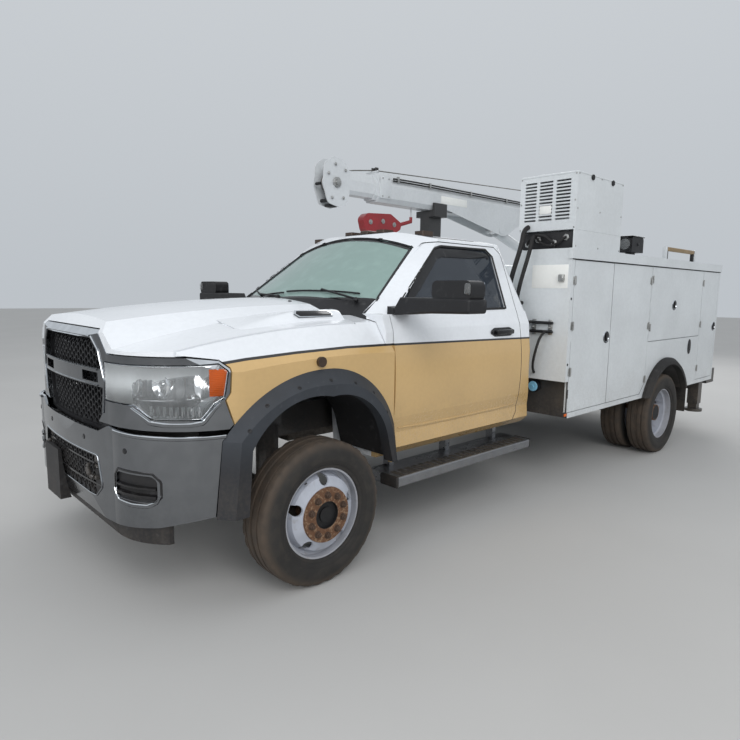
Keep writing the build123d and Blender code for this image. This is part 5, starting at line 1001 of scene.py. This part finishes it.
for door, x, z in (("1", -2940, 1240), ("3", -4407, 1498), ("4", -5643, 1248)):
    bodies = (f"locker_left_{door}", f"locker_right_{door}" if door != "4" else None)
    form.turned((x, SIDE, z), LEFT, [(-1, 52), (3, 52), (5.5, 49), (5.5, 42), (1.5, 40), (1.2, 0)], 40)
    form.done(f"latch_ring_locker_left_{door}", chrome, *bodies)
    form.block(about(x, 14), (SIDE + 1, SIDE + 11), about(z, 36), 4)
    form.bar((x, SIDE, z - 24), (x, SIDE + 14, z - 24), 8, 16, 0.4)
    form.done(f"latch_paddle_locker_left_{door}", black_plastic, *bodies)

# Dark seals in the gaps round the doors, and a dark strip painted in as the shadow in the drip seam above them
for front, rear, low in ((-2342, -3008, 664), (-3014, -3806, 664), (-3824, -5184, 1156)):
    for x in (front + 3, rear - 3):
        form.block(about(x, 1.2), (SIDE - 12, SIDE - 3.5), (low, 1858), 0.5)
# Painted shadow: a dark strip under the body's cap ledge
form.strip(flat([(x, SIDE + 0.2, 1861.5) for x in (-2300, -3500, -4600, -5740)], LEFT), 8.5, 0.8)
form.done("door_seals_and_drip_shadow_left", rubber, *BOTH)
form.strip(flat([(x, SIDE + 11.5, 1868) for x in (-2284, -3400, -4600, -5742)], LEFT), 6, 4)
form.done("drip_edge_left", body_paint, *BOTH)

# Fuel filler cover, the amber marker low at the front, and plugs
form.plate([(-4920 + 44 * cos(angle), SIDE, 1050 + 80 * sin(angle)) for angle in turns(28)], Vector((0, 0.005, 0)))
form.bar((-4920, SIDE + 4, 1018), (-4920, SIDE + 11, 1018), 7, 14, 0.4)
form.done("filler_cover", black_plastic)
form.block((-2335, -2300), (SIDE - 1, SIDE + 7), (640, 662), 3)
form.done("body_marker_left", amber_lens, *BOTH)
for z in (1050, 1560):
    form.turned((-2312, SIDE, z), LEFT, [(-0.5, 10), (1, 10), (1.4, 8), (0.6, 0)], 18)
form.done("body_plugs_left", rubber, *BOTH)

# Front face of the body: a blank plate, a bracket with a double bar, a latch box and the blue cap
FACE_X = -2290
form.block((FACE_X - 1, FACE_X + 1.8), (865, 1175), (1640, 1820), 0.6)
form.done("front_plate", label_white)
for y in (905, 1050):
    form.block((FACE_X - 1, FACE_X + 4), about(y, 18), (1275, 1395), 1.5)
    for z in (1300, 1335, 1370):
        form.bar((FACE_X + 2, y, z), (FACE_X + 30, y, z), 9, 14, 0.3)
form.done("hose_bracket", steel)
for z in (1300, 1370):
    form.bar((FACE_X + 26, 860, z), (FACE_X + 26, 1085, z), 12, 18, 0.4)
form.done("hose_couplings", black_plastic)
form.block((FACE_X - 1, FACE_X + 26), (1105, 1150), (1690, 1745), 5)
form.done("latch_box", steel)
form.turned((-2312, 915, 848), FORWARD, [(0, 34), (10, 41), (16, 41), (20, 36), (20, 14), (28, 12), (28, 0)], 28)
form.done("blue_cap", cap_blue)

# Hoses between the cab and the body
for row in (
    ("hose_upper", 19, "chassis", (-2290, 700, 1620), (-2220, 700, 1620), (-2160, 760, 1740), (-2190, 820, 1980),
     (-2240, 800, 2100), (-2300, 800, 2120)),
    ("hose_middle", 16, "chassis", (-2290, 780, 1520), (-2210, 780, 1520), (-2150, 840, 1660), (-2180, 900, 1920),
     (-2240, 880, 2030), (-2300, 860, 2040)),
    ("hose_lower", 13, "chassis", (-2270, 900, 1370), (-2210, 900, 1380), (-2170, 860, 1300), (-2180, 800, 1120),
     (-2240, 760, 1020), (-2300, 740, 1000)),
    ("hose_feed", 10, "chassis", (-2270, 1020, 1300), (-2200, 1020, 1280), (-2170, 1000, 1160), (-2200, 960, 1040),
     (-2250, 940, 980), (-2300, 920, 960)),
):
    hose(*row)

# Bed: ribs on the floor, and the tailgate's ribs and handle
for number in range(9):
    form.block((-5690, -2340), about(-600 + 150 * number, 30), (998.5, 1004.5), 2.5)
form.done("bed_ribs", body_paint)
form.block((-5747.5, -5744.5), (-110, 110), (1285, 1375), 1)
for z in (1420, 1090):
    form.block((-5747.5, -5745.2), (-620, 620), about(z, 15), 1)
form.done("tailgate_ribs", body_paint, "tailgate")
form.block((-5750, -5746), (-75, 75), (1300, 1360), 1.5)
form.block((-5756, -5749), (-60, 60), (1310, 1335), 3)
form.done("tailgate_handle", black_plastic, "tailgate")

# Rear: bezels round the tail lamps, reversing lamps and the bumper's tread plate
for side in SIDES:
    outline = [at(-5747, side * y, z) for y, z in ((765, 1035), (915, 1035), (915, 1315), (765, 1315))]
    form.strip(flat(spaced(outline, 40, True), BACK), 20, 10, True)
form.done("tail_bezels", chrome)
for side in SIDES:
    form.block((-5771, -5764), about(side * 840, 50), (1150, 1205), 2)
form.done("reverse_lamps", label_white)
for row in range(5):
    for column in range(46):
        turn = Matrix.Rotation(radians(45 if (row + column) % 2 else -45), 3, "Z")
        form.block(about(-5965 + 50 * row, 15), about(-1100 + 48.9 * column, 3.5), (729.5, 732), 1, turn)
form.done("bumper_treads", steel)

# Rack rail and its posts, and the work lamp's bezel, visor and lens
form.block((-5285, -4515), (1016.5, 1053.5), (2050, 2088), 5)
form.done("rack_rail", rack_wood)
for x in (-5315, -4500):
    form.block(about(x, 16), (1014.5, 1055.5), (1945, 2094), 5)
form.done("rack_posts", crane_paint)
form.turned((-3831, 910, 2079), FORWARD, [(-2, 66), (12, 68), (16, 64), (12, 58), (6, 56)], 36)
form.block((-4100, -3822), (832, 988), (2148, 2158), 4)
for y, way in ((838, RIGHT), (982, LEFT)):
    form.bolt((-3960, y, 2079), way, 12, 10)
form.done("work_lamp_bezel", gloss_black)
form.turned((-3829, 910, 2079), FORWARD, [(0, 56), (6, 52), (10, 36), (12, 0)], 32)
form.done("work_lamp_lens", lamp_lens)

# Compressor box: a black block painted in as the shade of the bay below its apron, a blank label over the middle
# louvres, screws, folds and roof grille
BOX_FRONT = -2310
# Painted shade: a black block filling the gap under the box's front face
form.block((-2470, -2330), (735, 1180), (1944.5, 2078), 6)
form.done("bay_shade_block", black_plastic)
for y, z, length in ((790, 1985, 20), (880, 2020, 24), (1020, 1990, 18), (1120, 2030, 12)):
    form.turned((-2332, y, z), FORWARD, [(0, 26), (10, 26), (14, 20), (length, 20), (length, 0)], 6)
form.done("bay_fittings", steel)
for row in (
    ("bay_hose_upper", 11, "chassis", (-2325, 790, 1985), (-2300, 790, 1985), (-2292, 860, 2060), (-2292, 960, 2045),
     (-2300, 1020, 1990), (-2325, 1020, 1990)),
    ("bay_hose_lower", 9, "chassis", (-2325, 880, 2020), (-2302, 880, 2020), (-2296, 970, 1965), (-2296, 1060, 1975),
     (-2302, 1120, 2030), (-2325, 1120, 2030)),
):
    hose(*row)
form.block((BOX_FRONT - 1, BOX_FRONT + 4), (890, 990), (2214, 2276), 1)
form.done("louvre_label", label_white)
for y in (722, 1188):
    for z in (2100, 2300, 2495):
        form.bolt((BOX_FRONT, y, z), FORWARD, 5, 4)
for x in (-2330, -2690, -3065):
    for z in (1960, 2240, 2495):
        form.bolt((x, SIDE, z), LEFT, 5, 4)
form.done("box_screws", steel)
for z, width, height in ((2505.5, 12, 3), (2086, 4, 1.5)):
    form.strip(flat([(x, SIDE, z) for x in (-2315, -2700, -3080)], LEFT), width, height)
form.strip(flat([(BOX_FRONT, y, 2505.5) for y in (714, 950, 1196)], FORWARD), 12, 3)
form.done("box_folds", body_paint)
for x in (-2536, -2878):
    form.turned((x, SIDE, 2490), LEFT, [(-2, 22), (8, 22), (11, 19), (9, 15), (12, 0)], 28)
form.done("box_lamps", black_plastic)
form.block((-2980, -2500), (790, 1120), (2512, 2515.6), 0.5)
form.done("box_roof_screen", black_plastic)
for number in range(13):
    form.block(about(-2500 - 40 * number, 12), (775, 1135), (2513, 2517.5), 1.5)
for y in (780, 955, 1130):
    form.block((-2995, -2485), about(y, 10), (2513, 2517.8), 1.5)
form.done("box_roof_grille", body_paint)

# Boom: bolts and collar plates at its mouth, and the head's bosses, sheave and guides
for way in SIDES:
    y = CRANE_Y + way * 105.5
    for x in (-2215, -2300):
        for z in (2690, 2520):
            form.bolt((x, y, z), (0, way, 0), 10, 7)
form.done("boom_bolts", steel, "boom")
for way in SIDES:
    y = CRANE_Y + way * 105.5
    form.block((-2330, -2185), (y - way, y + way * 4), (2500, 2710), 2)
form.done("boom_collar_plates", crane_paint, "boom")
form.block((-2180, -2166), about(CRANE_Y, 85), (2745.5, 2760), 3)
form.done("boom_lip", crane_paint, "boom")

for way in SIDES:
    y = CRANE_Y + way * 85
    form.turned((-1657, y, 2581), (0, way, 0), [(-2, 46), (6, 46), (8, 43), (8, 26), (20, 24), (22, 20), (22, 0)], 32)
    for x, z in ((-1735, 2450), (-1600, 2440), (-1560, 2650), (-1640, 2740), (-1760, 2700)):
        form.bolt((x, y, z), (0, way, 0), 10, 8)
form.done("head_bolts", steel, "stage_2")
form.turned((-1657, CRANE_Y - 22, 2581), LEFT, [(0, 30), (0, 100), (3, 108), (8, 110), (15, 104), (19, 98), (25, 98),
    (29, 104), (36, 110), (41, 108), (44, 100), (44, 30)], 64)
form.done("sheave", iron, "stage_2")
form.bar((-1500, -930, 2560), (-1506, -870, 2560), 14)
for x, z, radius in ((-1640, 2380, 12), (-1585, 2420, 16), (-1720, 2400, 12)):
    form.bar((x, -960, z), (x, -840, z), radius)
form.block((-1700, -1600), about(CRANE_Y, 35), (2366, 2392), 6)
form.done("head_guides", black_plastic, "stage_2")

# Winch: drum flanges, turns of rope and motor
DRUM_X, DRUM_Z = -5170, 2850
for way in SIDES:
    form.turned((DRUM_X, CRANE_Y + way * 80, DRUM_Z), (0, way, 0), [(-2, 72), (3, 74), (4, 70), (4, 0)], 40)
form.done("drum_flanges", black_frame, "boom")
profile = [(-70, 40)]
for number in range(15):
    middle = -63 + 9 * number
    profile += [(middle - 4.5, 58.5), (middle - 2.2, 62.2), (middle, 63.3), (middle + 2.2, 62.2)]
form.turned((DRUM_X, CRANE_Y, DRUM_Z), LEFT, profile + [(67.5, 58.5), (70, 40)], 40)
form.done("drum_rope", rope_steel, "boom")
form.turned((DRUM_X, CRANE_Y + 97, DRUM_Z), LEFT, [(0, 50), (6, 52), (24, 50), (28, 34), (36, 32), (38, 0)], 36)
for angle in turns(6):
    form.bolt((DRUM_X + 40 * cos(angle), CRANE_Y + 121, DRUM_Z + 40 * sin(angle)), LEFT, 6, 5)
form.done("winch_motor", black_frame, "boom")

form.block((-2230, -2190), about(CRANE_Y, 35), (2745, 2757), 3)
for way in SIDES:
    form.block((-2232, -2188), about(CRANE_Y + way * 26, 4), (2745, 2800), 3)
form.bar((-2210, CRANE_Y - 32, 2790), (-2210, CRANE_Y + 32, 2790), 10)
form.done("rope_guide", black_frame, "boom")

# The rope from the drum to the head: laid strands, with rings spaced evenly along it
ROPE_RADIUS, ROPE_LAY, ROPE_STEP = 5.5, 0.07, 0.02
ROPE_STRANDS, STRAND_SWELL = 6, 0.12


def rope_piece(name, start, end, body, over=None):
    """A straight rope between places (x, z), riding on body, or on no body where over is given."""
    start, end = [at(x, CRANE_Y, z) for x, z in (start, end)]
    way = (end - start).normalized()
    across = way.orthogonal().normalized()
    length = (end - start).length
    steps = max(2, int(length / ROPE_STEP))
    rings = []
    for step in range(steps + 1):
        twist = step / steps * length / ROPE_LAY * 2 * pi
        rings.append(form.circle(start.lerp(end, step / steps), across, way.cross(across),
            lambda number: ROPE_RADIUS * (1 + STRAND_SWELL * cos(ROPE_STRANDS * (turns(12)[number] - twist))), 12))
    form.loft(rings)
    piece = form.done(name, rope_steel, None if over else body)[0]
    if over:
        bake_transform(piece)


ROPE_LINE = ((-5150, 2913), (-2205, 2774), (-1930, 2735), (-1700, 2684))
rope_piece("rope_on_boom", *ROPE_LINE[:2], "boom")
rope_piece("rope_first_gap", *ROPE_LINE[1:3], "boom", "stage_1")
rope_piece("rope_second_gap", *ROPE_LINE[2:], "stage_1", "stage_2")

# Hook block: pins through its cheeks
for way in SIDES:
    for x, z in ((-2120, 2270), (-2290, 2290), (-2450, 2270)):
        form.turned((x, CRANE_Y + way * 41, z), (0, way, 0), [(-2, 24), (6, 24), (8, 20), (8, 11), (14, 10), (14, 0)],
            24)
form.done("hook_bolts", steel, "boom")

# Hoses on the mast and along the boom
for row in (
    ("mast_hose_front", 10, "turret", (-5000, -760, 2000), (-4970, -740, 2030), (-4965, -730, 2090),
     (-4990, -735, 2160), (-5040, -745, 2200)),
    ("mast_hose_rear", 10, "turret", (-5450, -790, 2020), (-5478, -790, 2060), (-5480, -790, 2220),
     (-5470, -780, 2400), (-5440, -775, 2470)),
    ("boom_hose_one", 8, "boom", (-5330, -790, 2700), (-5280, -782, 2712), (-4600, -782, 2716), (-3600, -782, 2712),
     (-2420, -782, 2708), (-2360, -792, 2700)),
    ("boom_hose_two", 8, "boom", (-5330, -790, 2676), (-5280, -782, 2690), (-4600, -782, 2694), (-3600, -782, 2690),
     (-2420, -782, 2686), (-2360, -792, 2680)),
):
    hose(*row)

# Clips on the boom's hoses, bolts round the turret's foot and plates over its pins
for x in (-5000, -4300, -3600, -2900, -2420):
    form.block(about(x, 12), (-795.5, -772), (2672, 2728), 3)
form.done("boom_clips", steel, "boom")
for angle in turns(12):
    form.bolt((-5180 + 150 * cos(angle), CRANE_Y + 150 * sin(angle), 2009), UP, 10, 8)
for x, z in ((-5400, 2620), (-5060, 2090)):
    for way in SIDES:
        form.turned((x, CRANE_Y + way * 131, z), (0, way, 0), [(-1, 52), (6, 52), (8, 48), (8, 0)], 28)
form.done("turret_bolts", steel, "turret")

# Cab roof: gutters, and gaskets under its lamps
for side in SIDES:
    form.strip([land("cab_shell", (-1300 - 55 * number, side * 640, 2400), DOWN) for number in range(10)], 14, 3)
form.done("roof_gutters", trim_plastic)
for y in (0, 180, 580, -180, -580):
    form.turned(*land("cab_shell", (-1300, y, 2400), DOWN), [(-4, 66), (3, 66), (6, 60)], 28)
form.done("roof_lamp_gaskets", rubber)

# Front flares: buttons round their edge
for x, z in ((455, 930), (340, 1035), (150, 1105), (-60, 1125), (-230, 1095), (-375, 1025), (-475, 900), (-545, 740)):
    form.turned(*land("front_arches", (x, 1300, z), RIGHT), [(-2, 11), (1, 11), (3, 8), (3, 4), (1.5, 3), (1.5, 0)], 16)
form.done("flare_buttons_left", black_plastic, *BOTH)

# Under the truck: shock absorbers
for side in SIDES:
    for start, end, radius in (((100, 470, 460), (160, 450, 800), 30), ((115, 465, 560), (160, 450, 800), 36),
                               ((-4160, 520, 440), (-4000, 440, 740), 30)):
        form.bar(*[(x, side * y, z) for x, y, z in (start, end)], radius, 20)
form.done("shock_absorbers", black_frame)

# Parking sensors on the bumper, and washer jets on the hood
for y in (-700, -280, 280, 700):
    form.turned(*land("front_bumper", (1300, y, 835), BACK), [(-1, 14), (1.5, 14), (3, 11), (2.2, 0)], 20)
form.done("bumper_sensors", gloss_black)
for y in (-340, 340):
    form.turned(*land("hood", (-300, y, 1900), DOWN), [(-2, 12), (3, 12), (6, 8), (6, 0)], 16)
form.done("washer_jets", black_plastic, "hood")

# A row of blank switch covers on the bed's bulkhead
for number in range(5):
    y = -300 + 150 * number
    form.block((-2323.5, -2319.5), about(y, 45), (1180, 1300), 1)
    form.bar((-2323.5, y, 1240), (-2336, y, 1240), 12, 18, 0.4)
form.done("bulkhead_covers", trim_plastic)

# Crane: a blank plate on the boom, and wear strips under it
form.block((-3550, -3100), (-795.5, -793.5), (2545, 2625), 0.8)
form.done("boom_plate", label_white, "boom")
for y in about(CRANE_Y, 98):
    form.bar((-3300, y, 2466.5), (-3020, y, 2466.5), 4, 10)
form.done("boom_wear_strip", black_plastic, "boom")

# Floor and light
FLOOR_RADIUS = 45
ground = Shader("floor", (188, 187, 185), 0.85)
ground.mottle(0.7, 0.02)
ground.bump(ground.noise(40, 5), 0.1, 0.003)
bmesh.ops.create_circle(form.mesh, cap_ends=True, segments=96, radius=FLOOR_RADIUS)
floor_mesh = bpy.data.meshes.new("floor")
form.mesh.to_mesh(floor_mesh)
form.mesh.free()
floor_mesh.materials.append(ground.done())
link("floor", floor_mesh)

world = bpy.data.worlds.new("world")
world.use_nodes = True
bpy.context.scene.world = world
sky = world.node_tree.nodes["Background"]
sky_place, sky_axes, sky_ramp = [world.node_tree.nodes.new(f"ShaderNode{kind}")
    for kind in ("TexCoord", "SeparateXYZ", "ValToRGB")]
for source, socket in ((sky_place.outputs["Generated"], sky_axes.inputs[0]),
                       (sky_axes.outputs[2], sky_ramp.inputs[0]), (sky_ramp.outputs[0], sky.inputs[0])):
    world.node_tree.links.new(source, socket)
sky_ramp.color_ramp.elements[0].color = tint(206, 212, 218)
sky_ramp.color_ramp.elements[1].color = tint(236, 240, 244)
sky.inputs[1].default_value = 0.82

for name, place, size, energy in (("key", (4000, 9000, 7500), 6, 520), ("front", (10000, 2000, 5000), 6, 260),
                                  ("rear", (-11000, -4000, 7000), 7, 380)):
    lamp = link(name, bpy.data.lights.new(name, "AREA"))
    lamp.data.size = size
    lamp.data.energy = energy
    lamp.location = at(*place)
    lamp.rotation_euler = (at(-2500, 0, 1200) - lamp.location).to_track_quat("-Z", "Y").to_euler()
